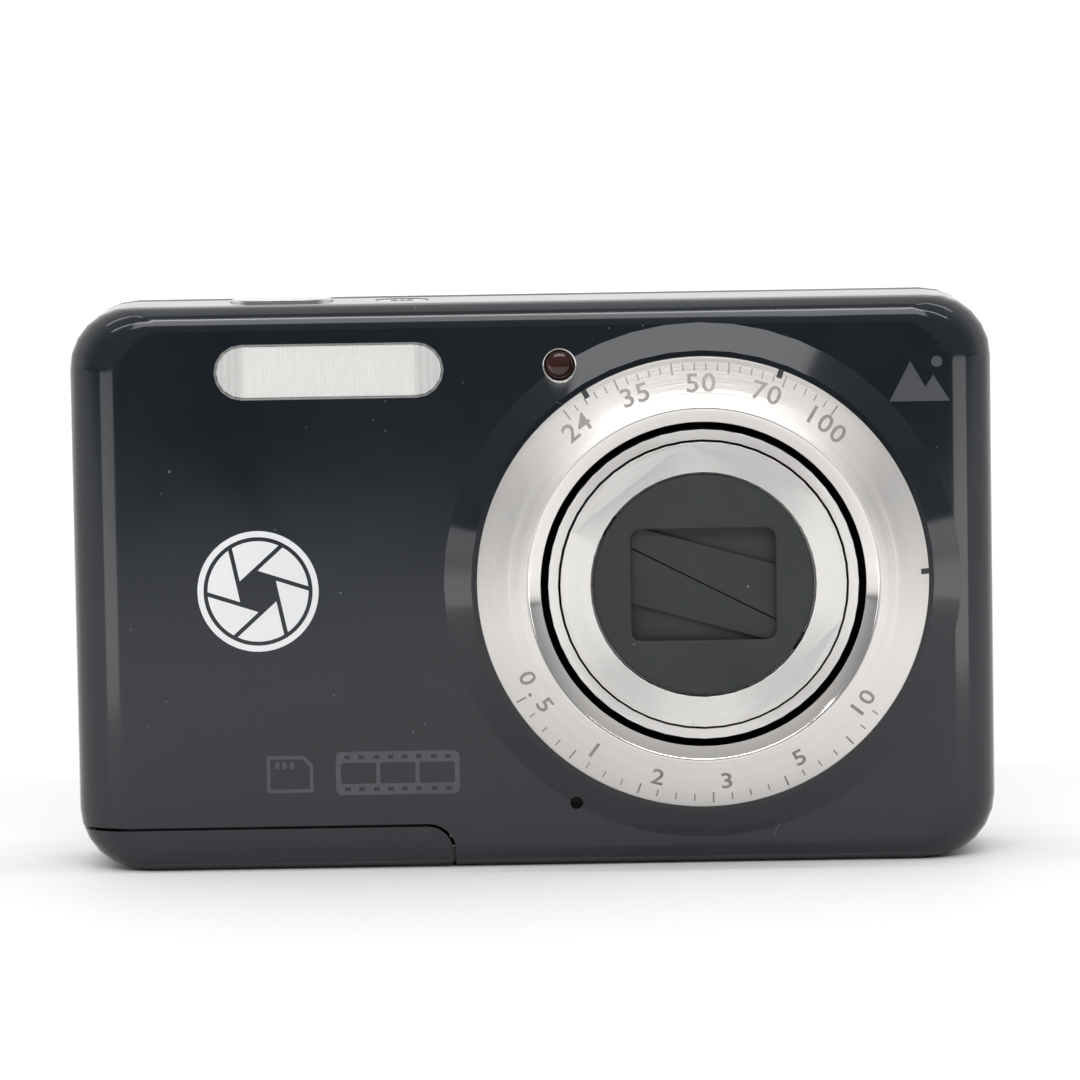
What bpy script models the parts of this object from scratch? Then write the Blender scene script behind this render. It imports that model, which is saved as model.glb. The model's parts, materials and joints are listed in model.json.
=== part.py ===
"""Compact digital camera with a retracting zoom lens, modelled as separate pieces in metres.

+Z is up, the lens looks along -Y, and +X is to the right when the camera is seen from the front.
The origin is on the surface the camera stands on, under the middle of its bounding box.
Sizes below are millimetres, and MM turns them into metres where a shape is made.
"""

import math

import bmesh
import bpy
from mathutils import Matrix, Vector

MM = 0.001

# ---- Driving dimensions -----------------------------------------------------------------------
BODY_WIDTH = 91.5
BODY_HEIGHT = 56.2
DEPTH = 22.9  # crest of the lens bezel to the tops of the rear keys
BEZEL_PROUD = 4.6  # crest of the bezel in front of the flat front face
KEY_PROUD = 0.35  # rear keys behind the flat rear face
WALL = 1.2  # side walls of the covers
FRONT_WALL = 1.1
REAR_WALL = 1.5
CORNER = 6.2  # corner radius of the body seen from the front
GAP = 0.3  # between touching pieces
SEAM = 0.3  # visible parting gaps

FACE_Y = -DEPTH / 2 + BEZEL_PROUD
BACK_Y = DEPTH / 2 - KEY_PROUD
PARTING_Y = 6.0
FRONT_ROLL = (5.5, 4.5, 2.4)  # side inset, side depth, top and bottom inset and depth
BACK_ROLL = (4.0, 3.2, 2.0)
CORNER_SEGMENTS = 6
TURN_STEPS = 48
SMALL_STEPS = 24

INNER_FRONT = FACE_Y + FRONT_WALL
INNER_BACK = BACK_Y - REAR_WALL
LEFT = -BODY_WIDTH / 2
RIGHT = BODY_WIDTH / 2
TOP = BODY_HEIGHT

# Lens
LENS_X = RIGHT - 29.05
LENS_Z = TOP / 2 + 0.25
BEZEL_RADIUS = 22.35
BEZEL_CREST = 17.5
BEZEL_BORE = 16.0
BEZEL_STEP = 2.9  # how far the cone rises from its rim to its crest
BOSS_BASE = 25.6
BOSS_TOP = 22.9
BOSS_RISE = 1.05
BOSS_BORE = 20.6
BARREL_GAP = 0.2  # radial, between the telescoping barrels
CAM_RADIUS = 15.3
CAM_WALL = 1.0
INNER_BARREL_WALL = 0.8
GUIDE_WALL = 0.7
HOUSING_BORE = 17.3
HOUSING_WALL = 0.7
CAP_RADIUS = 10.9
WINDOW_HALF = (7.1, 5.5)  # half width and half height of the window in the front cap
BARREL_FRONT = -DEPTH / 2 + 0.55  # front face of the inner barrel
CAM_FRONT = -DEPTH / 2 + 0.85
CAM_REAR = 3.0
BLADE_FRONT = BARREL_FRONT + 0.95
BLADE_THICK = 0.25
LENS_HOLDER_Y = (BARREL_FRONT + 1.9, BARREL_FRONT + 2.7)
GUIDE_FRONT = LENS_HOLDER_Y[1] + GAP
GUIDE_FLANGE = 0.6
FRONT_LENS_RADIUS = 7.6
REAR_LENS_Y = (-5.2, -3.4)
FOCUS_Y = (-0.2, 1.8)
FOCUS_RADIUS = 6.8
FOCUS_REACH = 9.6  # from the lens axis to the focusing screw and its guide rod
FOCUS_SCREW = 0.45
FOCUS_ARM = (1.4, 1.3)  # how far the arm reaches past the rods, and half its width
BASE_FRONT = 4.9
BASE_THICK = 0.6
BASE_HALF = 19.5

# The barrier's pivots, and the corners of the two blades on one pivot, relative to it
BLADE_PIVOT = (-10.6, 5.9)
BLADE_EYE = 0.9
SEAM_ANGLE = math.degrees(math.atan2(-BLADE_PIVOT[1], -BLADE_PIVOT[0])) + 1.9

# Gears
MODULE = 0.5
FINE_MODULE = 0.4
CAM_TEETH = 66
PINION_TEETH = 8
WHEEL_TEETH = 20
GEAR_WIDTH = 1.0
GEAR_ANGLE = math.radians(45)
MOTOR_RADIUS = 2.8
SHAFT = 0.45

# Flash, lamp and microphone
FLASH_CENTRE = (LEFT + 25.85, TOP - 6.5)
FLASH_SIZE = (22.3, 5.1)
REFLECTOR_HALF = (9.3, 2.5)
REFLECTOR_BOWL = (2.1, 17.4)  # radius and length of its hollow
FLASH_TUBE = (0.7, 16.8)  # radius and length
CAPACITOR = (3.3, 28.0)  # radius and length
LAMP_CENTRE = (LENS_X - 13.8, TOP - 6.3)
LAMP_RADIUS = 1.5
MIC_CENTRE = (LENS_X - 12.8, 6.4)
MIC_HOLE = 0.65
MIC_RADIUS = 1.8

# Top buttons
TOP_Y = 1.6
SHUTTER_X = LEFT + 21.05
SHUTTER_SIZE = (10.1, 6.0)
SHUTTER_PROUD = 0.3
SHUTTER_TRAVEL = 1.0
SHUTTER_STEM = 1.1
SPRING = (1.75, 0.17)  # radius of the coil and of its wire
SPRING_TURNS = 3.5
POWER_TRAVEL = 0.4
TOP_BOARD_Z = (TOP - 5.2, TOP - 4.6)
POWER_X = SHUTTER_X + 12.0
POWER_RADIUS = 2.5
BUTTON_GAP = 0.2
LIP = 0.6  # how far the collar that keeps a button in reaches past it
COLLAR = 0.6  # how thick that collar is

# Rear controls
SCREEN_CENTRE = (RIGHT - 32.75, TOP / 2 + 0.1)
SCREEN_SIZE = (56.0, 45.4)
SCREEN_CORNER = 1.3
SCREEN_BORDER = 0.8  # how far the display behind the window reaches past it
KEY_COLUMN_X = SCREEN_CENTRE[0] - SCREEN_SIZE[0] / 2 - 15.0
ROCKER_CENTRE = (KEY_COLUMN_X, TOP - 7.8)
ROCKER_SIZE = (14.0, 5.2)
ROCKER_Y = 8.8  # the rocker turns about an upright line at this depth
NAV_CENTRE = (KEY_COLUMN_X, 28.0)
NAV_RADIUS = 9.0
NAV_BORE = 4.1
SET_RADIUS = 3.6
NAV_RUBBER = (6.4, 4.4)  # outer and inner radius of the pad under the ring
SMALL_KEY = 2.6
SMALL_KEYS = {
    "record_button": (KEY_COLUMN_X + 8.6, 40.6),
    "menu_button": (KEY_COLUMN_X - 8.6, 15.0),
    "play_button": (KEY_COLUMN_X, 12.2),
    "delete_button": (KEY_COLUMN_X + 8.6, 15.0),
}
KEY_BOARD_Y = (6.9, 7.2)
KEY_TRAVEL = 0.35
KEY_STEM = 1.0

# Battery compartment and its door
BATTERY_SIZE = (31.5, 5.9, 39.5)
BATTERY_AT = (LEFT + 3.85, INNER_FRONT + 1.2, 3.0)
DOOR_RIGHT = BATTERY_AT[0] + BATTERY_SIZE[0] + 2.0
DOOR_TOP = 4.2
DOOR_CORNER = 2.5
HINGE_RADIUS = 0.8  # the door's inner lower corner is rounded about the hinge axis
HINGE = (DOOR_RIGHT - HINGE_RADIUS, HINGE_RADIUS)
HINGE_PIN = 0.3
HINGE_BORE = 0.45
HINGE_SLIDE = 2.0
HINGE_Y = (-4.4, 5.6)
TONGUES_Y = ((-3.4, -2.0), (3.2, 4.6))
CHAMBER_WALL = 0.6
CHAMBER_FOOT = 4.5
CARD_SIZE = (24.0, 2.1, 32.0)
CARD_AT = (BATTERY_AT[0] + 3.9, BATTERY_AT[1] + BATTERY_SIZE[1] + 0.95, 3.2)
LATCH_AT = (DOOR_RIGHT - 3.8, 3.6)
LATCH_Z = (1.9, 2.7)

# Boards and panels behind the lens
BOARD_Y = (5.2, 5.9)
SENSOR_Y = (5.7, 6.05)
SENSOR_HALF = (5.5, 4.5)
CHASSIS_Y = (6.3, 6.6)
SCREEN_MODULE_Y = (6.9, 9.3)

# Base
TRIPOD_AT = (LENS_X - 6.7, 0.4)
TRIPOD_RADIUS = 4.6
TRIPOD_NECK = 4.0
TRIPOD_BORE = 3.1
TRIPOD_DEPTH = 5.2
SCREW_AT = {"base_screw_left": (DOOR_RIGHT + 6.4, -1.0), "base_screw_right": (RIGHT - 8.75, -1.0)}
SPEAKER_AT = (TRIPOD_AT[0] + 16.5, 0.5)
SPEAKER_HOLES = 5
SPEAKER_HOLE = 0.45
SPEAKER_PITCH = 1.8
SPEAKER_HALF = (5.5, 2.6)
SCREW_HEAD = 1.3
SCREW_SLOT = (1.6, 0.35)  # length and width of each arm of the cross in the head

# Sides
STRAP_AT = (LEFT + 0.85, 3.3, TOP - 8.7)
STRAP_RECESS = (1.5, 3.2)  # half depth and half height
STRAP_BAR = 0.5
USB_AT = (1.9, 15.8)
USB_SIZE = (6.0, 2.9, 7.8)
USB_WALL = 0.35


# ---- Scene and materials -----------------------------------------------------------------------
def clear_scene():
    for obj in list(bpy.data.objects):
        bpy.data.objects.remove(obj)


def new_collection(name):
    made = bpy.data.collections.new(name)
    bpy.context.scene.collection.children.link(made)
    return made


def material(name, colour, roughness, metallic=0.0, alpha=1.0):
    made = bpy.data.materials.new(name)
    made.use_nodes = True
    shader = made.node_tree.nodes["Principled BSDF"]
    shader.inputs["Base Color"].default_value = (*colour, 1.0)
    shader.inputs["Roughness"].default_value = roughness
    shader.inputs["Metallic"].default_value = metallic
    shader.inputs["Alpha"].default_value = alpha
    return made


clear_scene()
CAMERA = new_collection("compact_camera")
CUTTERS = new_collection("cutters")

GLOSS_BLACK = material("gloss_black", (0.012, 0.013, 0.016), 0.08)
SATIN_BLACK = material("satin_black", (0.02, 0.021, 0.023), 0.4)
SPUN_METAL = material("spun_metal", (0.78, 0.76, 0.73), 0.25, 1.0)
MATT_BLACK = material("matt_black", (0.02, 0.02, 0.022), 0.65)
INNER_PLASTIC = material("inner_plastic", (0.03, 0.03, 0.032), 0.55)
WHITE_PLASTIC = material("white_plastic", (0.75, 0.75, 0.72), 0.5)
LENS_GLASS = material("lens_glass", (0.55, 0.6, 0.68), 0.03, 0.0, 0.35)
CLEAR_WINDOW = material("clear_window", (0.85, 0.87, 0.88), 0.05, 0.0, 0.4)
AMBER_WINDOW = material("amber_window", (0.12, 0.04, 0.025), 0.1)
SCREEN_GLASS = material("screen_glass", (0.01, 0.01, 0.012), 0.05)
STEEL = material("steel", (0.6, 0.6, 0.6), 0.3, 1.0)
BRIGHT_METAL = material("bright_metal", (0.85, 0.85, 0.86), 0.12, 1.0)
BOARD_GREEN = material("board_green", (0.03, 0.16, 0.07), 0.5)
BATTERY_GREY = material("battery_grey", (0.12, 0.13, 0.15), 0.5)
CARD_BLUE = material("card_blue", (0.03, 0.07, 0.2), 0.45)
BRASS = material("brass", (0.72, 0.52, 0.25), 0.3, 1.0)
RUBBER = material("rubber", (0.05, 0.05, 0.05), 0.8)
LATCH_ORANGE = material("latch_orange", (0.75, 0.25, 0.04), 0.5)


# ---- Shapes -------------------------------------------------------------------------------------
def add(name, mesh, at, finish, turn=(0, 0, 0)):
    """Links a new object. A piece with no finish is a cutter, so it isn't part of the camera."""
    obj = bpy.data.objects.new(name, mesh)
    obj.location = Vector(at) * MM
    obj.rotation_euler = turn
    if finish is None:
        CUTTERS.objects.link(obj)
        obj.hide_render = True
        obj.display_type = "WIRE"
    else:
        CAMERA.objects.link(obj)
        obj.data.materials.append(finish)
    return obj


FACING_FRONT = (math.radians(90), 0, 0)  # local Z looks along -Y, local Y looks up


def smooth(obj, degrees=35):
    obj.data.shade_smooth()
    obj.data.set_sharp_from_angle(angle=math.radians(degrees))
    return obj


def primitive(name, make, at, finish, turn=(0, 0, 0), **sizes):
    mesh = bpy.data.meshes.new(name)
    shape = bmesh.new()
    make(shape, **sizes)
    shape.to_mesh(mesh)
    shape.free()
    return add(name, mesh, at, finish, turn)


def block(name, low, high, finish):
    """A box between two corners."""
    size = [h - l for l, h in zip(low, high)]
    centre = [(h + l) / 2 for l, h in zip(low, high)]
    obj = primitive(name, bmesh.ops.create_cube, centre, finish, size=MM)
    for vertex in obj.data.vertices:
        vertex.co = Vector(c * s for c, s in zip(vertex.co, size))
    return obj


def rod(name, radius, at, length, finish, turn=(0, 0, 0), steps=SMALL_STEPS):
    """A cylinder centred on at, along its own Z."""
    return smooth(
        primitive(
            name, bmesh.ops.create_cone, at, finish, turn,
            cap_ends=True, segments=steps, radius1=radius * MM, radius2=radius * MM, depth=length * MM,
        )
    )


def rod_y(name, radius, centre, y_from, y_to, finish, steps=SMALL_STEPS):
    """A cylinder along Y, centred on (x, z)."""
    at = (centre[0], (y_from + y_to) / 2, centre[1])
    return rod(name, radius, at, y_to - y_from, finish, FACING_FRONT, steps)


def turned(name, profile, at, finish, turn=(0, 0, 0), steps=TURN_STEPS, closed=True):
    """Turns a profile of (radius, height) about local Z. It runs down the outer side and back up."""
    mesh = bpy.data.meshes.new(name)
    shape = bmesh.new()
    verts = [shape.verts.new((r * MM, 0, h * MM)) for r, h in profile]
    pairs = list(zip(verts, verts[1:]))
    if closed:
        pairs.append((verts[-1], verts[0]))
    for pair in pairs:
        shape.edges.new(pair)
    shape.to_mesh(mesh)
    shape.free()
    obj = add(name, mesh, at, finish, turn)
    screw = obj.modifiers.new("turn", "SCREW")
    screw.axis = "Z"
    screw.steps = steps
    screw.render_steps = steps
    screw.use_merge_vertices = True
    screw.merge_threshold = 0.000001
    screw.use_smooth_shade = False
    return obj


def on_lens(name, profile, finish, steps=TURN_STEPS, closed=True):
    """Turns a profile of (radius, y) about the lens axis, front edge of the outer side first."""
    heights = [(r, -y) for r, y in profile]
    return turned(name, heights, (LENS_X, 0, LENS_Z), finish, FACING_FRONT, steps, closed)


def tube_profile(outer, inner, front, rear):
    return [(outer, front), (outer, rear), (inner, rear), (inner, front)]


def arc(centre, radius, start, end, segments):
    """Points on an arc, angles in degrees."""
    return [
        (
            centre[0] + radius * math.cos(math.radians(start + (end - start) * i / segments)),
            centre[1] + radius * math.sin(math.radians(start + (end - start) * i / segments)),
        )
        for i in range(segments + 1)
    ]


def rounded(half_x, half_y, radius, centre=(0, 0), segments=CORNER_SEGMENTS):
    """A rectangle with round corners, anticlockwise."""
    points = []
    for sx, sy, start in ((1, 1, 0), (-1, 1, 90), (-1, -1, 180), (1, -1, 270)):
        middle = (centre[0] + sx * (half_x - radius), centre[1] + sy * (half_y - radius))
        points += arc(middle, radius, start, start + 90, segments)
    return points


def pill(size, grow=0.0, segments=8):
    """An outline with round ends, longer than it is high."""
    half_x, half_y = size[0] / 2 + grow, size[1] / 2 + grow
    reach = half_x - half_y
    return arc((reach, 0), half_y, -90, 90, segments) + arc((-reach, 0), half_y, 90, 270, segments)


def circle(radius, steps=SMALL_STEPS, centre=(0, 0)):
    return arc(centre, radius, 0, 360 * (steps - 1) / steps, steps - 1)


def outline_solid(name, outlines, at, thickness, finish, turn):
    """A flat outline, with holes for any further outlines inside it, given a thickness."""
    curve = bpy.data.curves.new(name + "_outline", "CURVE")
    curve.dimensions = "2D"
    curve.fill_mode = "BOTH"
    curve.extrude = thickness / 2 * MM
    for points in outlines:
        spline = curve.splines.new("POLY")
        spline.points.add(len(points) - 1)
        for point, (x, y) in zip(spline.points, points):
            point.co = (x * MM, y * MM, 0, 1)
        spline.use_cyclic_u = True
    guide = bpy.data.objects.new(name + "_guide", curve)
    CUTTERS.objects.link(guide)
    bpy.context.view_layer.update()
    graph = bpy.context.evaluated_depsgraph_get()
    mesh = bpy.data.meshes.new_from_object(guide.evaluated_get(graph))
    bpy.data.objects.remove(guide)
    bpy.data.curves.remove(curve)
    mesh.name = name
    mesh.materials.clear()
    shape = bmesh.new()
    shape.from_mesh(mesh)
    bmesh.ops.remove_doubles(shape, verts=shape.verts, dist=0.000001)
    bmesh.ops.recalc_face_normals(shape, faces=shape.faces)
    shape.to_mesh(mesh)
    shape.free()
    return add(name, mesh, at, finish, turn)


def plate(name, outlines, y_from, y_to, centre, finish):
    """Outlines of (x, z) about centre, as thick as the two y values are apart."""
    at = (centre[0], (y_from + y_to) / 2, centre[1])
    return outline_solid(name, outlines, at, y_to - y_from, finish, FACING_FRONT)


def slab(name, outlines, z_from, z_to, centre, finish):
    """Outlines of (x, y) about centre, between two heights."""
    at = (centre[0], centre[1], (z_from + z_to) / 2)
    return outline_solid(name, outlines, at, z_to - z_from, finish, (0, 0, 0))


def boolean(obj, other, operation):
    step = obj.modifiers.new(operation.lower() + "_" + other.name, "BOOLEAN")
    step.operation = operation
    step.object = other
    step.solver = "EXACT"
    return obj


def cut(obj, *others):
    for other in others:
        boolean(obj, other, "DIFFERENCE")
    return obj


def join(obj, *others):
    for other in others:
        boolean(obj, other, "UNION")
    return obj


# ---- Body sections --------------------------------------------------------------------------------
def roll(depth, width, reach):
    """How far an edge rolled over an ellipse is set in, this deep behind its flat face."""
    if depth >= reach:
        return 0.0
    return width * (1 - math.sqrt(max(0.0, 1 - (1 - max(depth, 0.0) / reach) ** 2)))


def section(y, side, front, back):
    """Half width, half height and corner radius of the body at y, set in by the given walls."""
    behind_front = y - (FACE_Y + front)
    before_back = (BACK_Y - back) - y
    in_x = max(
        roll(behind_front, FRONT_ROLL[0] - side, FRONT_ROLL[1] - front),
        roll(before_back, BACK_ROLL[0] - side, BACK_ROLL[1] - back),
    )
    in_z = max(
        roll(behind_front, FRONT_ROLL[2] - side, FRONT_ROLL[2] - front),
        roll(before_back, BACK_ROLL[2] - side, BACK_ROLL[2] - back),
    )
    return BODY_WIDTH / 2 - side - in_x, BODY_HEIGHT / 2 - side - in_z, max(CORNER - side - 0.9 * in_z, 1.0)


def body_loft(name, stations, finish, side=0.0, front=0.0, back=0.0):
    """A closed solid through the body's sections: each edge loop is extruded on to the next section."""

    def ring(y):
        half_x, half_z, radius = section(y, side, front, back)
        return [Vector((x, y, z + BODY_HEIGHT / 2)) * MM for x, z in rounded(half_x, half_z, radius)]

    mesh = bpy.data.meshes.new(name)
    shape = bmesh.new()
    here = ring(stations[0])
    edges = shape.faces.new([shape.verts.new(point) for point in here]).edges[:]
    for y in stations[1:]:
        grown = bmesh.ops.extrude_edge_only(shape, edges=edges)["geom"]
        edges = [item for item in grown if isinstance(item, bmesh.types.BMEdge)]
        after = ring(y)
        for vertex in (item for item in grown if isinstance(item, bmesh.types.BMVert)):
            nearest = min(range(len(here)), key=lambda i: (here[i] - vertex.co).length)
            vertex.co = after[nearest]
        here = after
    bmesh.ops.holes_fill(shape, edges=edges)
    bmesh.ops.recalc_face_normals(shape, faces=shape.faces)
    shape.to_mesh(mesh)
    shape.free()
    return add(name, mesh, (0, 0, 0), finish)


def curved_steps(start, reach, count):
    """Stations across a rolled edge, closer together where it turns fastest."""
    return [start + reach * (1 - math.cos(math.radians(90 * i / count))) for i in range(count + 1)]


def move_origin(obj, at):
    """Puts the origin on a joint's axis and leaves the shape where it is."""
    shift = Vector(at) * MM - obj.location
    obj.data.transform(Matrix.Translation(-(obj.rotation_euler.to_matrix().inverted() @ shift)))
    obj.location += shift
    return obj


def gear(teeth, module, phase):
    """A gear outline with short tapered teeth, one of them centred on the angle phase."""
    pitch = module * teeth / 2
    points = []
    for tooth in range(teeth):
        middle = phase + 2 * math.pi * tooth / teeth
        for side, radius in ((-0.62, -1.1), (-0.26, 0.75), (0.26, 0.75), (0.62, -1.1)):
            angle = middle + side * math.pi / teeth
            reach = pitch + radius * module
            points.append((reach * math.cos(angle), reach * math.sin(angle)))
    return points


def from_lens(reach, angle):
    """The point (x, z) at this distance and angle from the lens axis."""
    return LENS_X + reach * math.cos(angle), LENS_Z + reach * math.sin(angle)


# ---- Covers -------------------------------------------------------------------------------------
FRONT_STATIONS = curved_steps(FACE_Y, FRONT_ROLL[1], 6)
BACK_STATIONS = [BACK_Y + FACE_Y - y for y in reversed(curved_steps(FACE_Y, BACK_ROLL[1], 5))]
INNER_STATIONS = curved_steps(INNER_FRONT, FRONT_ROLL[1] - FRONT_WALL, 3)
INNER_BACK_STATIONS = [
    INNER_BACK + INNER_FRONT - y for y in reversed(curved_steps(INNER_FRONT, BACK_ROLL[1] - REAR_WALL, 3))
]
WALLS = {"side": WALL, "front": FRONT_WALL, "back": REAR_WALL}


def door_outline(grow=0.0):
    """The door seen from the front: its inner lower corner turns about the hinge."""
    top, right = DOOR_TOP + grow, DOOR_RIGHT + grow
    corner = DOOR_CORNER + grow
    return (
        arc(HINGE, HINGE_RADIUS + grow, -90, 0, 4)
        + arc((right - corner, top - corner), corner, 0, 90, 6)
        + [(LEFT - 5, top), (LEFT - 5, -grow)]
    )


def door_space():
    return plate("door_space", [door_outline(SEAM)], FACE_Y - 4, BACK_Y + 4, (0, 0), None)


def make_front_cover():
    cover = body_loft("front_cover", FRONT_STATIONS + [PARTING_Y - SEAM / 2], GLOSS_BLACK)
    cavity = body_loft("front_cavity", INNER_STATIONS + [PARTING_Y + 1], None, **WALLS)
    boss_y = FACE_Y - BOSS_RISE
    inside = FACE_Y + 0.6
    boss = on_lens(
        "boss",
        [(0, boss_y), (BOSS_TOP, boss_y), (BOSS_BASE, FACE_Y), (BOSS_BASE, inside), (0, inside)],
        None, closed=False,
    )
    ends = (boss_y - 1, INNER_FRONT + 1)
    bore = [(0, ends[0]), (BOSS_BORE, ends[0]), (BOSS_BORE, ends[1]), (0, ends[1])]
    bore = on_lens("boss_bore", bore, None, closed=False)
    through = (FACE_Y - 1, INNER_FRONT + 1)
    flash = plate("flash_opening", [pill(FLASH_SIZE, BUTTON_GAP)], *through, FLASH_CENTRE, None)
    lamp = rod_y("lamp_opening", LAMP_RADIUS + BUTTON_GAP, LAMP_CENTRE, *through, None)
    mic = rod_y("mic_opening", MIC_HOLE, MIC_CENTRE, *through, None, 12)
    roof = (BODY_HEIGHT - WALL - 1, BODY_HEIGHT + 1)
    shutter = slab("shutter_opening", [pill(SHUTTER_SIZE, BUTTON_GAP)], *roof, (SHUTTER_X, TOP_Y), None)
    power = slab("power_opening", [circle(POWER_RADIUS + BUTTON_GAP)], *roof, (POWER_X, TOP_Y), None)
    cut(join(cut(cover, cavity), boss), bore, flash, lamp, mic, shutter, power)

    # Bottom: the door's place with the two slotted tongues of its hinge, then the base openings
    cut(cover, door_space())
    left = HINGE[0] - HINGE_SLIDE
    tongue_half = HINGE_RADIUS - 0.05
    for number, (y_from, y_to) in enumerate(TONGUES_Y):
        outline = arc((left, HINGE[1]), tongue_half, 90, 270, 6) + [
            (DOOR_RIGHT + 2, HINGE[1] - tongue_half),
            (DOOR_RIGHT + 2, HINGE[1] + tongue_half),
        ]
        join(cover, plate(f"tongue_{number}", [outline], y_from, y_to, (0, 0), None))
    slot = arc((left, HINGE[1]), HINGE_BORE, 90, 270, 4) + arc(HINGE, HINGE_BORE, -90, 90, 4)
    cut(cover, plate("hinge_slot", [slot], TONGUES_Y[0][0] - 1, TONGUES_Y[1][1] + 1, (0, 0), None))

    def through_floor(name, radius, at, steps):
        cut(cover, rod(name, radius, (*at, WALL / 2), 3 * WALL, None, steps=steps))

    through_floor("tripod_opening", TRIPOD_NECK + GAP, TRIPOD_AT, SMALL_STEPS)
    for name, at in SCREW_AT.items():
        through_floor(name + "_hole", SCREW_HEAD + BUTTON_GAP, at, 16)
    for number in range(SPEAKER_HOLES):
        at = (SPEAKER_AT[0] + (number - (SPEAKER_HOLES - 1) / 2) * SPEAKER_PITCH, SPEAKER_AT[1])
        through_floor(f"speaker_hole_{number}", SPEAKER_HOLE, at, 12)

    # Sides: the strap recess with its own walls, and the socket opening
    x, y, z = STRAP_AT
    half_y, half_z = STRAP_RECESS
    lining = block(
        "strap_lining",
        (LEFT + WALL / 2, y - half_y - 0.7, z - half_z - 1.1),
        (x + 1.9, y + half_y + 0.7, z + half_z + 1.1), None,
    )
    low, high = (LEFT - 1, y - half_y, z - half_z), (x + 1.3, y + half_y, z + half_z)
    recess = block("strap_recess", low, high, None)
    bar = rod("strap_bore", STRAP_BAR + 0.15, (x, y, z), 2 * half_z + 1.6, None, steps=12)
    cut(join(cover, lining), recess, bar)
    y, z = USB_AT
    half_y, half_z = USB_SIZE[1] / 2 + BUTTON_GAP, USB_SIZE[2] / 2 + BUTTON_GAP
    low, high = (RIGHT - WALL - 1, y - half_y, z - half_z), (RIGHT + 1, y + half_y, z + half_z)
    cut(cover, block("usb_opening", low, high, None))
    return cover


def make_rear_cover():
    cover = body_loft("rear_cover", [PARTING_Y + SEAM / 2] + BACK_STATIONS, SATIN_BLACK)
    cut(cover, body_loft("rear_cavity", [PARTING_Y - 1] + INNER_BACK_STATIONS, None, **WALLS))
    through = (INNER_BACK - 1, BACK_Y + 1)
    half = [s / 2 + BUTTON_GAP for s in SCREEN_SIZE]
    opening = rounded(*half, SCREEN_CORNER + BUTTON_GAP)
    cut(cover, plate("screen_opening", [opening], *through, SCREEN_CENTRE, None))
    cut(cover, plate("rocker_opening", [pill(ROCKER_SIZE, 0.35)], *through, ROCKER_CENTRE, None))
    cut(cover, rod_y("nav_opening", NAV_RADIUS + 0.3, NAV_CENTRE, *through, None, 36))
    for name, at in SMALL_KEYS.items():
        cut(cover, rod_y(name + "_opening", SMALL_KEY + BUTTON_GAP, at, *through, None, 20))
    return cut(cover, door_space())


def make_door():
    stations = FRONT_STATIONS + BACK_STATIONS
    door = body_loft("battery_door", stations, GLOSS_BLACK)
    boolean(door, plate("door_shape", [door_outline()], FACE_Y - 4, BACK_Y + 4, (0, 0), None), "INTERSECT")
    cut(door, body_loft("door_cavity", INNER_STATIONS + INNER_BACK_STATIONS, None, **WALLS))
    join(door, rod_y("hinge_bead", HINGE_RADIUS - 0.002, HINGE, HINGE_Y[0] - 1, HINGE_Y[1] + 1, None, 16))
    cut(door, rod_y("hinge_bore", HINGE_BORE, HINGE, *HINGE_Y, None, 12))
    for number, (y_from, y_to) in enumerate(TONGUES_Y):
        low = (HINGE[0] - HINGE_SLIDE - 1.1, y_from - GAP, -1)
        high = (DOOR_RIGHT + 1, y_to + GAP, DOOR_TOP)
        cut(door, block(f"tongue_notch_{number}", low, high, None))
    return move_origin(door, (HINGE[0], 0, HINGE[1]))


make_front_cover()
make_rear_cover()
make_door()
rod_y("hinge_pin", HINGE_PIN, HINGE, HINGE_Y[0] + GAP, HINGE_Y[1] - GAP, STEEL, 12)


# ---- Lens -----------------------------------------------------------------------------------------
CAM_BORE = CAM_RADIUS - CAM_WALL
INNER_RADIUS = CAM_BORE - BARREL_GAP
INNER_BORE = INNER_RADIUS - INNER_BARREL_WALL
GUIDE_RADIUS = INNER_BORE - BARREL_GAP
GUIDE_BORE = GUIDE_RADIUS - GUIDE_WALL
GEAR_AT = from_lens(MODULE * (CAM_TEETH + PINION_TEETH) / 2, GEAR_ANGLE)
WHEEL_REACH = FINE_MODULE * (WHEEL_TEETH + PINION_TEETH) / 2
MOTOR_AT = from_lens(MODULE * (CAM_TEETH + PINION_TEETH) / 2 + WHEEL_REACH, GEAR_ANGLE)
RIM_Y = (CAM_REAR - GEAR_WIDTH, CAM_REAR)
WHEEL_Y = (CAM_REAR + 0.4, CAM_REAR + 0.4 + GEAR_WIDTH)
PINION_FRONT = INNER_FRONT + 0.45
HOUSING_FRONT = -DEPTH / 2 + 2.5


def make_bezel():
    """A cone that rises to a crest, then a chamfer down to the bore, on a skirt inside the boss."""
    crest = -DEPTH / 2
    rim = crest + BEZEL_STEP
    under = FACE_Y - BOSS_RISE - GAP
    skirt = BOSS_BORE - GAP
    lip = crest + 2.1
    on_lens(
        "lens_bezel",
        [
            (BEZEL_CREST, crest), (BEZEL_RADIUS, rim), (BEZEL_RADIUS, under), (skirt, under),
            (skirt, FACE_Y), (HOUSING_BORE + HOUSING_WALL + 0.3, FACE_Y),
            (HOUSING_BORE + HOUSING_WALL + 0.3, lip), (BEZEL_BORE, lip), (BEZEL_BORE, crest + 0.9),
            (BEZEL_CREST - 0.25, crest),
        ],
        SPUN_METAL, 64,
    )


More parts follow.
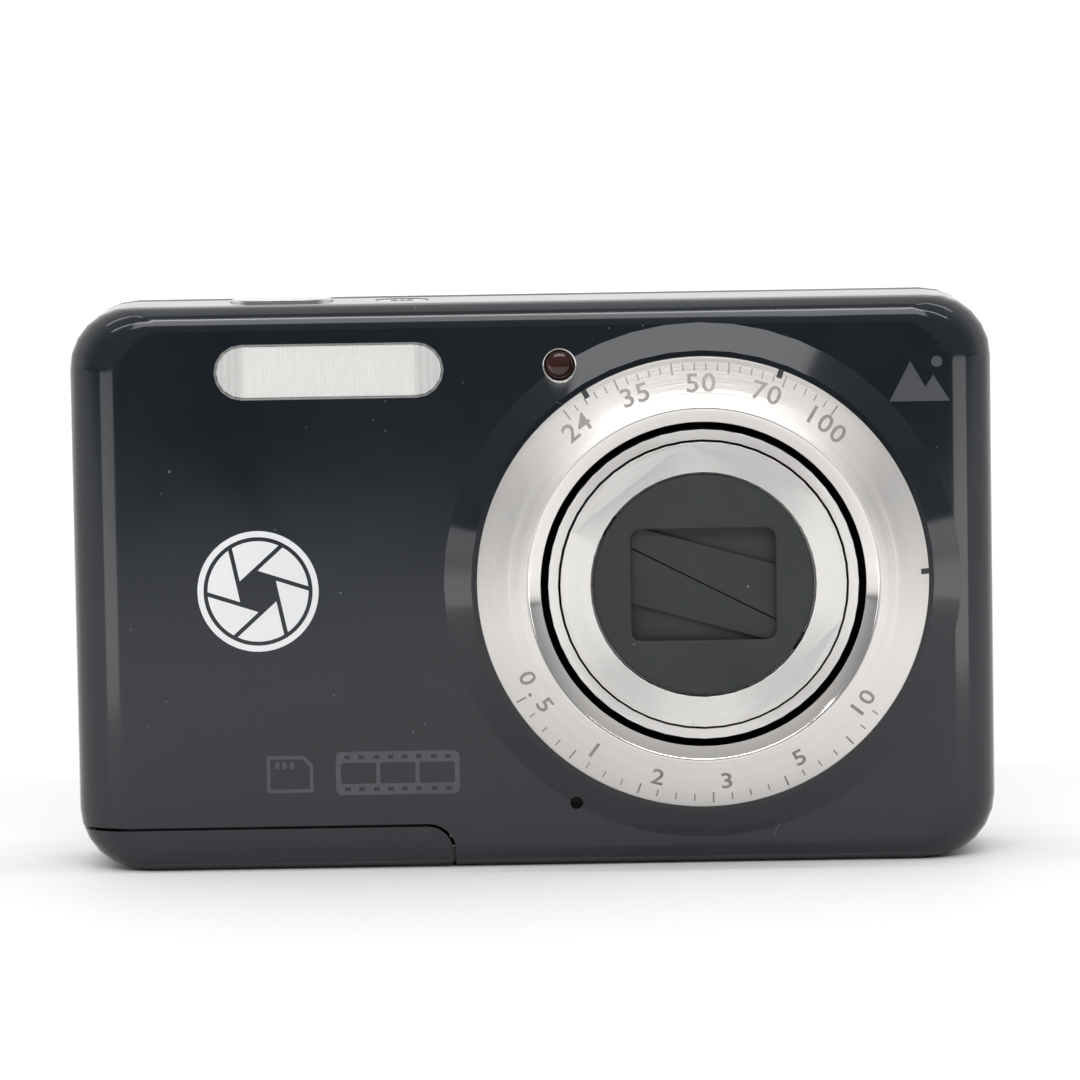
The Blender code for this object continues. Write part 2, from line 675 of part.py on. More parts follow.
def make_barrels():
    housing = on_lens(
        "lens_housing",
        tube_profile(HOUSING_BORE + HOUSING_WALL, HOUSING_BORE, HOUSING_FRONT, BASE_FRONT - GAP),
        INNER_PLASTIC,
    )
    tip = MODULE * (PINION_TEETH / 2 + 1)
    cut(housing, rod_y("pinion_space", tip + 0.4, GEAR_AT, PINION_FRONT - 0.5, BASE_FRONT + 1, None))
    wheel_tip = FINE_MODULE * (WHEEL_TEETH / 2 + 1)
    wheel_space = rod_y("wheel_space", wheel_tip + 0.4, GEAR_AT, CAM_REAR + 0.1, BASE_FRONT + 1, None)
    cut(housing, wheel_space)

    cam = on_lens("cam_barrel", tube_profile(CAM_RADIUS, CAM_BORE, CAM_FRONT, CAM_REAR), SPUN_METAL)
    rim = gear(CAM_TEETH, MODULE, GEAR_ANGLE + math.pi / CAM_TEETH)
    hole = circle(CAM_RADIUS - CAM_WALL / 2, TURN_STEPS)
    join(cam, plate("cam_rim", [rim, hole], *RIM_Y, (LENS_X, LENS_Z), None))

    flange = (CAM_REAR + GAP, CAM_REAR + GAP + GUIDE_FLANGE)
    guide = on_lens(
        "linear_guide",
        [
            (GUIDE_RADIUS, GUIDE_FRONT), (GUIDE_RADIUS, flange[0]), (CAM_RADIUS - 0.3, flange[0]),
            (CAM_RADIUS - 0.3, flange[1]), (GUIDE_BORE, flange[1]), (GUIDE_BORE, GUIDE_FRONT),
        ],
        MATT_BLACK,
    )
    cut(guide, wheel_space)

    holder = LENS_HOLDER_Y
    front = BARREL_FRONT
    opening = CAP_RADIUS + BARREL_GAP
    barrel = on_lens(
        "inner_barrel",
        [
            (INNER_RADIUS, front), (INNER_RADIUS, CAM_REAR - 0.3), (INNER_BORE, CAM_REAR - 0.3),
            (INNER_BORE, holder[1]), (FRONT_LENS_RADIUS + BARREL_GAP, holder[1]),
            (FRONT_LENS_RADIUS + BARREL_GAP, holder[0]), (INNER_BORE, holder[0]),
            (INNER_BORE, front + 0.75), (opening, front + 0.75), (opening, front),
        ],
        SPUN_METAL,
    )
    for side in (1, -1):
        at = (LENS_X + side * BLADE_PIVOT[0], LENS_Z + side * BLADE_PIVOT[1])
        join(barrel, rod_y(f"blade_pin_{side}", 0.3, at, front + 0.4, holder[1] - 0.3, None, 10))
    window = rounded(*WINDOW_HALF, 0.9, segments=3)
    plate(
        "front_cap", [circle(CAP_RADIUS, TURN_STEPS), window], front + 0.15, front + 0.75,
        (LENS_X, LENS_Z), MATT_BLACK,
    )


def make_blades():
    """Two pairs of wedge-shaped blades. In the front view they open anticlockwise about their pivots."""
    u = (math.cos(math.radians(SEAM_ANGLE)), math.sin(math.radians(SEAM_ANGLE)))
    over = (WINDOW_HALF[0] + 0.25 - BLADE_PIVOT[0], WINDOW_HALF[1] + 0.25 - BLADE_PIVOT[1])
    middle = over[1] - 4.0

    def eye(start, end):
        return arc((0, 0), BLADE_EYE, start, end, 6)

    def along(reach, offset, direction):
        return reach * direction[0] - offset * direction[1], reach * direction[1] + offset * direction[0]

    low = math.degrees(math.atan2(middle - 0.4, over[0]))
    v = (math.cos(math.radians(low)), math.sin(math.radians(low)))
    inner = [along(1.6, -0.34, u), along(20.4, -0.34, u), (over[0], middle)]
    inner += eye(math.degrees(math.atan2(middle, over[0])) + 90, SEAM_ANGLE + 255)
    outer = [along(1.6, -0.45, v), (over[0], middle - 0.4), over]
    outer += eye(90, low + 250)
    layers = {"inner": (inner, BLADE_FRONT), "outer": (outer, BLADE_FRONT + BLADE_THICK + 0.2)}
    for side, place in ((1, "upper"), (-1, "lower")):
        at = (LENS_X + side * BLADE_PIVOT[0], LENS_Z + side * BLADE_PIVOT[1])
        for layer, (outline, front) in layers.items():
            turned_outline = [(side * x, side * z) for x, z in outline]
            hole = circle(0.45, 12)
            name = f"{place}_{layer}_blade"
            plate(name, [turned_outline, hole], front, front + BLADE_THICK, at, MATT_BLACK)


def make_glass():
    front = LENS_HOLDER_Y[0]
    on_lens(
        "front_lens",
        [
            (0, front + 0.05), (3.2, front + 0.22), (5.8, front + 0.7), (FRONT_LENS_RADIUS, front + 1.3),
            (FRONT_LENS_RADIUS, front + 3.3), (0, front + 3.3),
        ],
        LENS_GLASS, 36, closed=False,
    )
    low, high = REAR_LENS_Y
    rear = rod_y("rear_lens", GUIDE_BORE - GAP, (LENS_X, LENS_Z), low + 0.3, high - 0.3, INNER_PLASTIC, 36)
    join(rear, rod_y("rear_lens_barrel", 6.0, (LENS_X, LENS_Z), low, high, None))

    focus = rod_y("focus_lens", FOCUS_RADIUS, (LENS_X, LENS_Z), *FOCUS_Y, INNER_PLASTIC, 32)
    half, side = FOCUS_REACH + FOCUS_ARM[0], FOCUS_ARM[1]
    arm = [along_diagonal(s * half, t * side) for s, t in ((1, 1), (-1, 1), (-1, -1), (1, -1))]
    join(focus, plate("focus_arm", [arm], FOCUS_Y[0] + 0.4, FOCUS_Y[1] - 0.4, (LENS_X, LENS_Z), None))
    screw_at, rod_at = from_lens(FOCUS_REACH, GEAR_ANGLE + math.pi), from_lens(FOCUS_REACH, GEAR_ANGLE)
    for number, at in enumerate((screw_at, rod_at)):
        hole = FOCUS_SCREW + 0.15
        cut(focus, rod_y(f"focus_hole_{number}", hole, at, FOCUS_Y[0] - 1, FOCUS_Y[1] + 1, None, 12))
    motor_front = FOCUS_Y[1] + GAP
    rod_y("focus_screw", FOCUS_SCREW, screw_at, REAR_LENS_Y[1] + 0.3, motor_front - 0.2, BRASS, 12)
    rod_y("focus_motor", 2.0, screw_at, motor_front, BASE_FRONT - GAP, STEEL, 20)

    half = BASE_HALF
    base = plate(
        "lens_base", [rounded(half, half, 3), rounded(4.2, 3.3, 0.4, segments=2)],
        BASE_FRONT, BASE_FRONT + BASE_THICK, (LENS_X, LENS_Z), INNER_PLASTIC,
    )
    join(base, rod_y("guide_rod", FOCUS_SCREW, rod_at, REAR_LENS_Y[1] + 0.3, BASE_FRONT + 0.3, None, 12))
    half_x, half_z = SENSOR_HALF
    low, high = SENSOR_Y
    corners = (LENS_X - half_x, low, LENS_Z - half_z), (LENS_X + half_x, high, LENS_Z + half_z)
    block("image_sensor", *corners, BOARD_GREEN)


def along_diagonal(reach, offset):
    """A point of the focusing arm, which lies along the line from the screw to its guide rod."""
    c, s = math.cos(GEAR_ANGLE), math.sin(GEAR_ANGLE)
    return reach * c - offset * s, reach * s + offset * c


def make_gears():
    drive = plate(
        "drive_gear", [gear(PINION_TEETH, MODULE, GEAR_ANGLE + math.pi)], PINION_FRONT, WHEEL_Y[0] + 0.3,
        GEAR_AT, WHITE_PLASTIC,
    )
    wheel = gear(WHEEL_TEETH, FINE_MODULE, GEAR_ANGLE + math.pi / WHEEL_TEETH)
    join(drive, plate("drive_wheel", [wheel], *WHEEL_Y, GEAR_AT, None))
    pinion = gear(PINION_TEETH, FINE_MODULE, GEAR_ANGLE + math.pi)
    plate("motor_pinion", [pinion, circle(SHAFT + 0.1, 12)], *WHEEL_Y, MOTOR_AT, BRASS)
    motor = rod_y("zoom_motor", MOTOR_RADIUS, MOTOR_AT, WHEEL_Y[0] - 8.2, WHEEL_Y[0] - GAP, STEEL)
    join(motor, rod_y("motor_shaft", SHAFT, MOTOR_AT, WHEEL_Y[0] - 1, WHEEL_Y[1] + 0.2, None, 12))


make_bezel()
make_barrels()
make_blades()
make_glass()
make_gears()


# ---- Flash, lamp and microphone ---------------------------------------------------------------------
def make_flash():
    front = FACE_Y + 0.1
    plate("flash_window", [pill(FLASH_SIZE)], front, front + 0.9, FLASH_CENTRE, CLEAR_WINDOW)
    x, z = FLASH_CENTRE
    low, high = INNER_FRONT + GAP, INNER_FRONT + 3.6
    half_x, half_z = REFLECTOR_HALF
    corners = (x - half_x, low, z - half_z), (x + half_x, high, z + half_z)
    reflector = block("flash_reflector", *corners, BRIGHT_METAL)
    sideways = (0, math.radians(90), 0)
    radius, length = REFLECTOR_BOWL
    cut(reflector, rod("flash_bowl", radius, (x, low + 0.5, z), length, None, sideways))
    rod("flash_tube", FLASH_TUBE[0], (x, low + 1.1, z), FLASH_TUBE[1], WHITE_PLASTIC, sideways, 12)
    rod("flash_capacitor", CAPACITOR[0], (DOOR_RIGHT + 3.0, 0, 22), CAPACITOR[1], MATT_BLACK, steps=20)


def make_lamp():
    rod_y("lamp_window", LAMP_RADIUS, LAMP_CENTRE, FACE_Y + 0.25, FACE_Y + 1.0, AMBER_WINDOW)
    rod_y("microphone", MIC_RADIUS, MIC_CENTRE, INNER_FRONT + GAP, INNER_FRONT + 1.9, STEEL, 16)


# ---- Top buttons -------------------------------------------------------------------------------------
def make_top_buttons():
    ceiling = BODY_HEIGHT - WALL - GAP
    board = TOP_BOARD_Z[1]
    shutter_top = BODY_HEIGHT + SHUTTER_PROUD
    at = (SHUTTER_X, TOP_Y)
    collar = (ceiling - COLLAR, ceiling)
    shutter = slab("shutter_button", [pill(SHUTTER_SIZE)], collar[0], shutter_top, at, BRIGHT_METAL)
    join(shutter, slab("shutter_collar", [pill(SHUTTER_SIZE, LIP)], *collar, at, None))
    foot = board + SHUTTER_TRAVEL + 0.2
    join(shutter, slab("shutter_stem", [circle(SHUTTER_STEM, 16)], foot, collar[0] + 0.3, at, None))
    coil_low, coil_high = board + GAP, collar[0] - GAP
    make_coil("shutter_spring", *SPRING, coil_low, coil_high, SPRING_TURNS, at)

    at = (POWER_X, TOP_Y)
    power = slab("power_button", [circle(POWER_RADIUS)], collar[0], BODY_HEIGHT - 0.05, at, BRIGHT_METAL)
    join(power, slab("power_collar", [circle(POWER_RADIUS + LIP)], *collar, at, None))
    foot = board + POWER_TRAVEL + 0.2
    join(power, slab("power_stem", [circle(KEY_STEM, 16)], foot, collar[0] + 0.3, at, None))
    block("top_board", (SHUTTER_X - 6, -1.4, TOP_BOARD_Z[0]), (POWER_X + 4, 4.8, board), BOARD_GREEN)


def make_coil(name, radius, wire, low, high, turns, at):
    """A round wire wound about Z between two heights."""
    curve = bpy.data.curves.new(name, "CURVE")
    curve.dimensions = "3D"
    curve.bevel_depth = wire * MM
    curve.bevel_resolution = 1
    curve.use_fill_caps = True
    steps = int(turns * 14)
    spline = curve.splines.new("POLY")
    spline.points.add(steps)
    for number, point in enumerate(spline.points):
        angle = 2 * math.pi * turns * number / steps
        height = wire + (high - low - 2 * wire) * number / steps
        point.co = (radius * math.cos(angle) * MM, radius * math.sin(angle) * MM, height * MM, 1)
    return add(name, curve, (*at, low), STEEL)


# ---- Rear controls ---------------------------------------------------------------------------------------
def make_rear_controls():
    foot = KEY_BOARD_Y[1] + KEY_TRAVEL + 0.15
    collar = (INNER_BACK - GAP - COLLAR, INNER_BACK - GAP)
    for name, at in SMALL_KEYS.items():
        key = rod_y(name, SMALL_KEY, at, collar[0], BACK_Y + 0.2, SATIN_BLACK, 20)
        join(key, rod_y(name + "_collar", SMALL_KEY + LIP, at, *collar, None, 20))
        join(key, rod_y(name + "_stem", KEY_STEM, at, foot, collar[0] + 0.3, None, 12))
    ring = [
        (NAV_RADIUS, BACK_Y - 0.2), (NAV_RADIUS, INNER_BACK - 0.9), (NAV_BORE, INNER_BACK - 0.9),
        (NAV_BORE, BACK_Y - 0.1), (NAV_BORE + 1.6, BACK_Y - 0.4), (NAV_RADIUS - 1.2, BACK_Y + 0.2),
    ]
    at = (NAV_CENTRE[0], 0, NAV_CENTRE[1])
    turned("nav_ring", [(r, -y) for r, y in reversed(ring)], at, SATIN_BLACK, FACING_FRONT, 40)
    pad = tube_profile(*NAV_RUBBER, INNER_BACK - 1.8, INNER_BACK - 1.2)
    turned("nav_rubber", [(r, -y) for r, y in pad], at, RUBBER, FACING_FRONT, 32)
    rod_y("set_button", SET_RADIUS, NAV_CENTRE, foot, BACK_Y + 0.15, SATIN_BLACK)

    top = DEPTH / 2
    rocker = plate("zoom_rocker", [pill(ROCKER_SIZE)], ROCKER_Y - 0.4, top, ROCKER_CENTRE, SATIN_BLACK)
    x, z = ROCKER_CENTRE
    half_z = ROCKER_SIZE[1] / 2 + LIP + 0.1
    low, high = (x - 2.2, collar[0] - 0.2, z - half_z), (x + 2.2, collar[1] - 0.1, z + half_z)
    join(rocker, block("rocker_collar", low, high, None))
    for side in (-1, 1):
        stem = rod_y(f"rocker_stem_{side}", 0.8, (x + side * 4.4, z), foot, ROCKER_Y, None, 10)
        join(rocker, stem)
    move_origin(rocker, (x, ROCKER_Y, z))
    low, high = KEY_BOARD_Y
    block("key_board", (KEY_COLUMN_X - 11.5, low, 8.5), (KEY_COLUMN_X + 12.0, high, TOP - 4.7), BOARD_GREEN)


def make_screen():
    x, z = SCREEN_CENTRE
    half_x, half_z = SCREEN_SIZE[0] / 2, SCREEN_SIZE[1] / 2
    plate(
        "screen_window", [rounded(half_x, half_z, SCREEN_CORNER)], INNER_BACK + GAP, BACK_Y - 0.05,
        SCREEN_CENTRE, SCREEN_GLASS,
    )
    half_x, half_z = half_x + SCREEN_BORDER, half_z + SCREEN_BORDER
    low, high = SCREEN_MODULE_Y
    block("screen_module", (x - half_x, low, z - half_z), (x + half_x, high, z + half_z), STEEL)


# ---- Boards, battery and card ---------------------------------------------------------------------------
def make_inside():
    low, high = CHASSIS_Y
    half = (RIGHT - 3.75, TOP / 2 - 5.6)
    plate("chassis", [rounded(*half, 3.0, segments=3)], low, high, (0, TOP / 2 + 0.9), STEEL)
    low, high = BOARD_Y
    block("main_board", (LEFT + 3.15, low, 7.5), (LENS_X - BASE_HALF - 1.7, high, TOP - 6.2), BOARD_GREEN)

    left, front, foot = BATTERY_AT
    wide, deep, tall = BATTERY_SIZE
    centre = (left + wide / 2, front + deep / 2)
    slab("battery", [rounded(wide / 2, deep / 2, 1.2, segments=3)], foot, foot + tall, centre, BATTERY_GREY)
    card_left, card_front, card_foot = CARD_AT
    card_wide, card_deep, card_tall = CARD_SIZE
    card_corner = (card_left + card_wide, card_front + card_deep, card_foot + card_tall)
    block("memory_card", CARD_AT, card_corner, CARD_BLUE)

    pocket_top = foot + tall + 1.8
    outer_left, outer_right = left - GAP - CHAMBER_WALL, left + wide + GAP + CHAMBER_WALL
    outer_front, outer_back = front - GAP - CHAMBER_WALL, BOARD_Y[0] - GAP
    half_x, half_y = (outer_right - outer_left) / 2, (outer_back - outer_front) / 2
    middle = (outer_left + half_x, outer_front + half_y)
    chamber = slab(
        "battery_chamber", [rounded(half_x, half_y, 2.6, segments=4)], CHAMBER_FOOT, pocket_top + 0.6,
        middle, INNER_PLASTIC,
    )
    battery_pocket = rounded(wide / 2 + GAP, deep / 2 + GAP, 1.5, segments=3)
    cut(chamber, slab("battery_pocket", [battery_pocket], CHAMBER_FOOT - 1, pocket_top, centre, None))
    card_top = card_foot + card_tall + 3.1
    side = 0.2
    cut(
        chamber,
        block(
            "card_pocket", (card_left - side, card_front - side, CHAMBER_FOOT - 1),
            (card_left + card_wide + side, card_front + card_deep + side, card_top), None,
        ),
    )
    block(
        "card_socket", (card_left + 0.5, card_front, card_foot + card_tall + GAP),
        (card_left + card_wide - 0.5, card_front + card_deep, card_top - GAP), STEEL,
    )
    block(
        "battery_contacts", (left + wide - 12, front + 1.2, foot + tall + GAP),
        (left + wide - 2, front + deep - 1.2, pocket_top - GAP), BRASS,
    )

    low, high = LATCH_Z
    nose = [(-0.8, -3.0), (0.8, -3.0), (0.8, 0)] + arc((0, 0), 0.8, 0, 180, 6) + [(-0.8, 0)]
    latch = slab("battery_latch", [nose], low, high, LATCH_AT, LATCH_ORANGE)
    join(latch, rod("latch_post", 0.4, (*LATCH_AT, high + 1.6), 3.8, None, steps=12))
    cut(chamber, rod("latch_bore", 0.55, (*LATCH_AT, CHAMBER_FOOT + 0.5), 3.4, None, steps=12))


# ---- Base and sides ------------------------------------------------------------------------------
def make_base():
    above = WALL + GAP
    depth = TRIPOD_DEPTH
    turned(
        "tripod_socket",
        [
            (0, depth + 0.9), (TRIPOD_RADIUS, depth + 0.9), (TRIPOD_RADIUS, above + 1),
            (TRIPOD_RADIUS + 0.6, above + 1), (TRIPOD_RADIUS + 0.6, above), (TRIPOD_NECK, above),
            (TRIPOD_NECK, 0.05), (TRIPOD_BORE, 0.05), (TRIPOD_BORE, depth), (0, depth),
        ],
        (*TRIPOD_AT, 0), STEEL, steps=32, closed=False,
    )
    for name, at in SCREW_AT.items():
        screw = rod(name, SCREW_HEAD, (*at, 0.55), 0.9, STEEL, steps=16)
        join(screw, rod(name + "_shank", 0.6, (*at, 2.8), 4.4, None, steps=10))
        for turn in (0, 1):
            size = SCREW_SLOT if turn else SCREW_SLOT[::-1]
            low = (at[0] - size[0] / 2, at[1] - size[1] / 2, -0.5)
            high = (at[0] + size[0] / 2, at[1] + size[1] / 2, 0.6)
            cut(screw, block(f"{name}_slot_{turn}", low, high, None))
    x, y = SPEAKER_AT
    half_x, half_y = SPEAKER_HALF
    block("speaker", (x - half_x, y - half_y, above), (x + half_x, y + half_y, above + 2.6), MATT_BLACK)


def make_sides():
    x, y, z = STRAP_AT
    rod("strap_bar", STRAP_BAR, (x, y, z), 2 * STRAP_RECESS[1] + 1.2, STEEL, steps=12)
    y, z = USB_AT
    deep, thick, tall = USB_SIZE
    outer = RIGHT - 0.5
    half_y, half_z = thick / 2, tall / 2
    low, high = (outer - deep, y - half_y, z - half_z), (outer, y + half_y, z + half_z)
    socket = block("usb_socket", low, high, STEEL)
    half_y, half_z = half_y - USB_WALL, half_z - USB_WALL
    low, high = (outer - deep + 1, y - half_y, z - half_z), (outer + 1, y + half_y, z + half_z)
    cut(socket, block("usb_mouth", low, high, None))


make_flash()
make_lamp()
make_top_buttons()
make_rear_controls()
make_screen()
make_inside()
make_base()
make_sides()
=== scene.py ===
# %% [markdown]
# # A compact digital camera and its finishes
#
# The camera is a flat box of glossy black plastic with a big spun-metal ring round a lens that
# slides out. This script starts from the machine parts and gives every one its real surface:
# polished paint, spun and polished metal, frosted plastic over the flash, matt blades, moulded
# keys. All of them are worked out by shader nodes, so a finish can be taken apart and reused.
#
# The first cell loads the parts and keeps the outer size, to compare with the dressed camera.

# %% Load the parts
import json
import math

import bmesh
import bpy
from mathutils import Matrix, Vector

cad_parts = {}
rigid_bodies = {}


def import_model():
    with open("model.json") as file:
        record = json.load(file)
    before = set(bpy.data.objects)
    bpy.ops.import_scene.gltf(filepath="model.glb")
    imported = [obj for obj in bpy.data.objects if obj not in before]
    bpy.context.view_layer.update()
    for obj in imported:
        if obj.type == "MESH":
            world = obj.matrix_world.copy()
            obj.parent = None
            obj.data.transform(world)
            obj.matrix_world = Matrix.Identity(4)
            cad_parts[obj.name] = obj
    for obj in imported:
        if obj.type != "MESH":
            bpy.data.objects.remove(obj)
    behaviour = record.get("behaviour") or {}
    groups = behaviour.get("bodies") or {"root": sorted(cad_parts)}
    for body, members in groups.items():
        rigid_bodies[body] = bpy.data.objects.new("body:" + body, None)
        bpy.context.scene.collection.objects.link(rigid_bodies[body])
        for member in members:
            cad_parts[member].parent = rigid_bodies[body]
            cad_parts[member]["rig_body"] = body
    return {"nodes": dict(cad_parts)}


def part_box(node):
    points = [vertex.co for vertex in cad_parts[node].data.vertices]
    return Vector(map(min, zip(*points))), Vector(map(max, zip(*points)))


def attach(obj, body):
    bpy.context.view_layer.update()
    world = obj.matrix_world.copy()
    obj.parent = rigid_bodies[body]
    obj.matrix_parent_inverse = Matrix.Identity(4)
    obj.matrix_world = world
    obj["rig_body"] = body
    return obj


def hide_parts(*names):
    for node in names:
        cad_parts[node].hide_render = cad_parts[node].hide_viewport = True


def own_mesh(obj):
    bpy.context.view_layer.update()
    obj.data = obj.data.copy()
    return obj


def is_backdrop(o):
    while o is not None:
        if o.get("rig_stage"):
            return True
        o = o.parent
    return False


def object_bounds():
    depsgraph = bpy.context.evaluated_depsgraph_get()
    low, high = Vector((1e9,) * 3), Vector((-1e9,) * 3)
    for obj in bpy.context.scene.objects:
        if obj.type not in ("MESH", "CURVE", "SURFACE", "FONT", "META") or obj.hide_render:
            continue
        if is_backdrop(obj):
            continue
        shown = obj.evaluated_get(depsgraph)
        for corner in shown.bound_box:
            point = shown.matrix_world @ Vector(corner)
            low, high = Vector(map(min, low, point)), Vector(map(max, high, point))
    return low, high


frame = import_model()
size_before = [list(corner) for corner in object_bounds()]
nodes = frame["nodes"]
MM = 0.001
print("parts:", len(nodes), "size in mm:", [round((b - a) / MM, 2) for a, b in zip(*size_before)])

# %% [markdown]
# Most finishes are placed relative to a few lines of the camera: the lens axis, the crest of the
# bezel, the flat front face and the two ends. They are read from the boxes of the parts, so the
# looks follow the parts when a size changes.

# %% Find the lens axis and the flat faces
bezel_low, bezel_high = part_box("lens_bezel")
LENS_X = (bezel_low[0] + bezel_high[0]) / 2
LENS_Z = (bezel_low[2] + bezel_high[2]) / 2
CREST_Y = bezel_low[1]
FACE_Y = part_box("flash_window")[0][1] - 0.1 * MM
LEFT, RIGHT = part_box("front_cover")[0][0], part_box("front_cover")[1][0]
print("lens axis, x and z:", round(LENS_X / MM, 2), round(LENS_Z / MM, 2))
print("front face, y:", round(FACE_Y / MM, 2))

# %% [markdown]
# ## Tools for building finishes
#
# A finish is a small network of nodes. These helpers place a node, feed it from a socket or a
# plain number, and return its output, so that a material reads like the recipe it is.


# %% Node helpers
def place(tree, kind, **settings):
    made = tree.nodes.new(kind)
    for name, value in settings.items():
        setattr(made, name, value)
    return made


def feed(tree, socket, source):
    if isinstance(source, bpy.types.NodeSocket):
        tree.links.new(source, socket)
    elif source is not None:
        if socket.type == "RGBA" and len(source) == 3:
            source = (*source, 1.0)
        socket.default_value = source


def maths(tree, operation, a, b=None, c=None, clamp=False):
    made = place(tree, "ShaderNodeMath", operation=operation, use_clamp=clamp)
    for socket, source in zip(made.inputs, (a, b, c)):
        feed(tree, socket, source)
    return made.outputs[0]


def between(tree, value, low, high, out_low=0.0, out_high=1.0, smooth=True):
    """Maps low..high to out_low..out_high, held at both ends."""
    curve = "SMOOTHSTEP" if smooth else "LINEAR"
    made = place(tree, "ShaderNodeMapRange", interpolation_type=curve)
    for socket, source in zip(made.inputs, (value, low, high, out_low, out_high)):
        feed(tree, socket, source)
    return made.outputs[0]


def blend(tree, factor, a, b, how="MIX"):
    made = place(tree, "ShaderNodeMix", data_type="RGBA", blend_type=how)
    feed(tree, made.inputs[0], factor)
    feed(tree, made.inputs[6], a)
    feed(tree, made.inputs[7], b)
    return made.outputs[2]


def noise(tree, vector, scale, detail=3.0, rough=0.5, distortion=0.0):
    made = place(tree, "ShaderNodeTexNoise")
    feed(tree, made.inputs["Vector"], vector)
    feed(tree, made.inputs["Scale"], scale)
    made.inputs["Detail"].default_value = detail
    made.inputs["Roughness"].default_value = rough
    made.inputs["Distortion"].default_value = distortion
    return made.outputs[0]


def mapped(tree, vector, location=(0, 0, 0), rotation=(0, 0, 0), scale=(1, 1, 1)):
    made = place(tree, "ShaderNodeMapping")
    feed(tree, made.inputs["Vector"], vector)
    made.inputs["Location"].default_value = location
    made.inputs["Rotation"].default_value = rotation
    made.inputs["Scale"].default_value = scale
    return made.outputs[0]


def axes(tree, vector):
    made = place(tree, "ShaderNodeSeparateXYZ")
    feed(tree, made.inputs[0], vector)
    return made.outputs


def bumped(tree, height, strength, distance, normal=None):
    made = place(tree, "ShaderNodeBump")
    feed(tree, made.inputs["Height"], height)
    made.inputs["Strength"].default_value = strength
    made.inputs["Distance"].default_value = distance
    if normal is not None:
        feed(tree, made.inputs["Normal"], normal)
    return made.outputs[0]


def effect(name, inputs, outputs):
    """An empty node group with named inputs (label, default, kind) and outputs (label, kind)."""
    tree = bpy.data.node_groups.new(name, "ShaderNodeTree")
    for label, value, kind in inputs:
        socket = tree.interface.new_socket(label, in_out="INPUT", socket_type="NodeSocket" + kind)
        if value is not None:
            socket.default_value = value
    for label, kind in outputs:
        tree.interface.new_socket(label, in_out="OUTPUT", socket_type="NodeSocket" + kind)
    return tree, place(tree, "NodeGroupInput"), place(tree, "NodeGroupOutput")


def use(tree, group, **values):
    """Places a shared effect in a material, with that material's own values."""
    made = place(tree, "ShaderNodeGroup", node_tree=group)
    for label, source in values.items():
        feed(tree, made.inputs[label], source)
    return made.outputs


print("node helpers ready")

# %% [markdown]
# ## Shared effects
#
# Dust settles as small separate specks of different sizes. Cells of a Voronoi pattern give each
# speck a centre, and a random number per cell decides whether a speck is there and how big it is.

# %% Dust specks
DUST, inside, outside = effect(
    "Dust specks", [("Vector", None, "Vector"), ("Scale", 400.0, "Float"), ("Cover", 0.2, "Float")],
    [("Mask", "Float")],
)
cells = place(DUST, "ShaderNodeTexVoronoi", feature="F1")
feed(DUST, cells.inputs["Vector"], inside.outputs["Vector"])
feed(DUST, cells.inputs["Scale"], inside.outputs["Scale"])
chance = axes(DUST, cells.outputs["Color"])
reach = between(DUST, chance[1], 0.0, 1.0, 0.03, 0.09, smooth=False)
speck = between(DUST, maths(DUST, "DIVIDE", cells.outputs["Distance"], reach), 0.6, 1.0, 1.0, 0.0)
there = maths(DUST, "LESS_THAN", chance[0], inside.outputs["Cover"])
feed(DUST, outside.inputs["Mask"], maths(DUST, "MULTIPLY", speck, there))
print("effect:", DUST.name)

# %% [markdown]
# Hair scratches come from wiping and pockets. The contour lines of a stretched noise are long,
# thin and slightly curved, and a second noise breaks them into separate strokes.

# %% Hair scratches
SCRATCHES, inside, outside = effect(
    "Hair scratches",
    [
        ("Vector", None, "Vector"), ("Scale", 60.0, "Float"),
        ("Width", 0.004, "Float"), ("Cover", 0.5, "Float"),
    ],
    [("Mask", "Float")],
)
strokes = []
where = inside.outputs["Vector"]
less_cover = maths(SCRATCHES, "MULTIPLY", inside.outputs["Cover"], 0.4)
for number, turn in enumerate((0.35, -0.6, 1.25)):
    shift = (0.013 * number, 0.02, 0.007)
    along = mapped(SCRATCHES, where, shift, (turn, turn, turn), (1, 0.07, 1))
    field = noise(SCRATCHES, along, inside.outputs["Scale"], 1.0)
    distance = maths(SCRATCHES, "SUBTRACT", field, 0.5 + 0.07 * number)
    distance = maths(SCRATCHES, "ABSOLUTE", distance)
    line = maths(SCRATCHES, "LESS_THAN", distance, inside.outputs["Width"])
    gate = noise(SCRATCHES, mapped(SCRATCHES, where, (0.1 * number, 0, 0)), 110.0, 2.0)
    kept = maths(SCRATCHES, "GREATER_THAN", gate, maths(SCRATCHES, "SUBTRACT", 0.85, less_cover))
    strokes.append(maths(SCRATCHES, "MULTIPLY", line, kept))
both = maths(SCRATCHES, "MAXIMUM", strokes[0], strokes[1])
feed(SCRATCHES, outside.inputs["Mask"], maths(SCRATCHES, "MAXIMUM", both, strokes[2]))
print("effect:", SCRATCHES.name)

# %% [markdown]
# Handling leaves broad soft patches where a surface is a little duller or lighter. Moulded plastic
# has a fine grain pressed in by the tool, which is a mix of two noises of different size.

# %% Soft patches and moulded grain
PATCHES, inside, outside = effect(
    "Soft patches", [("Vector", None, "Vector"), ("Scale", 60.0, "Float")], [("Value", "Float")]
)
broad = noise(PATCHES, inside.outputs["Vector"], inside.outputs["Scale"], 4.0, 0.6, 0.4)
feed(PATCHES, outside.inputs["Value"], between(PATCHES, broad, 0.32, 0.68))

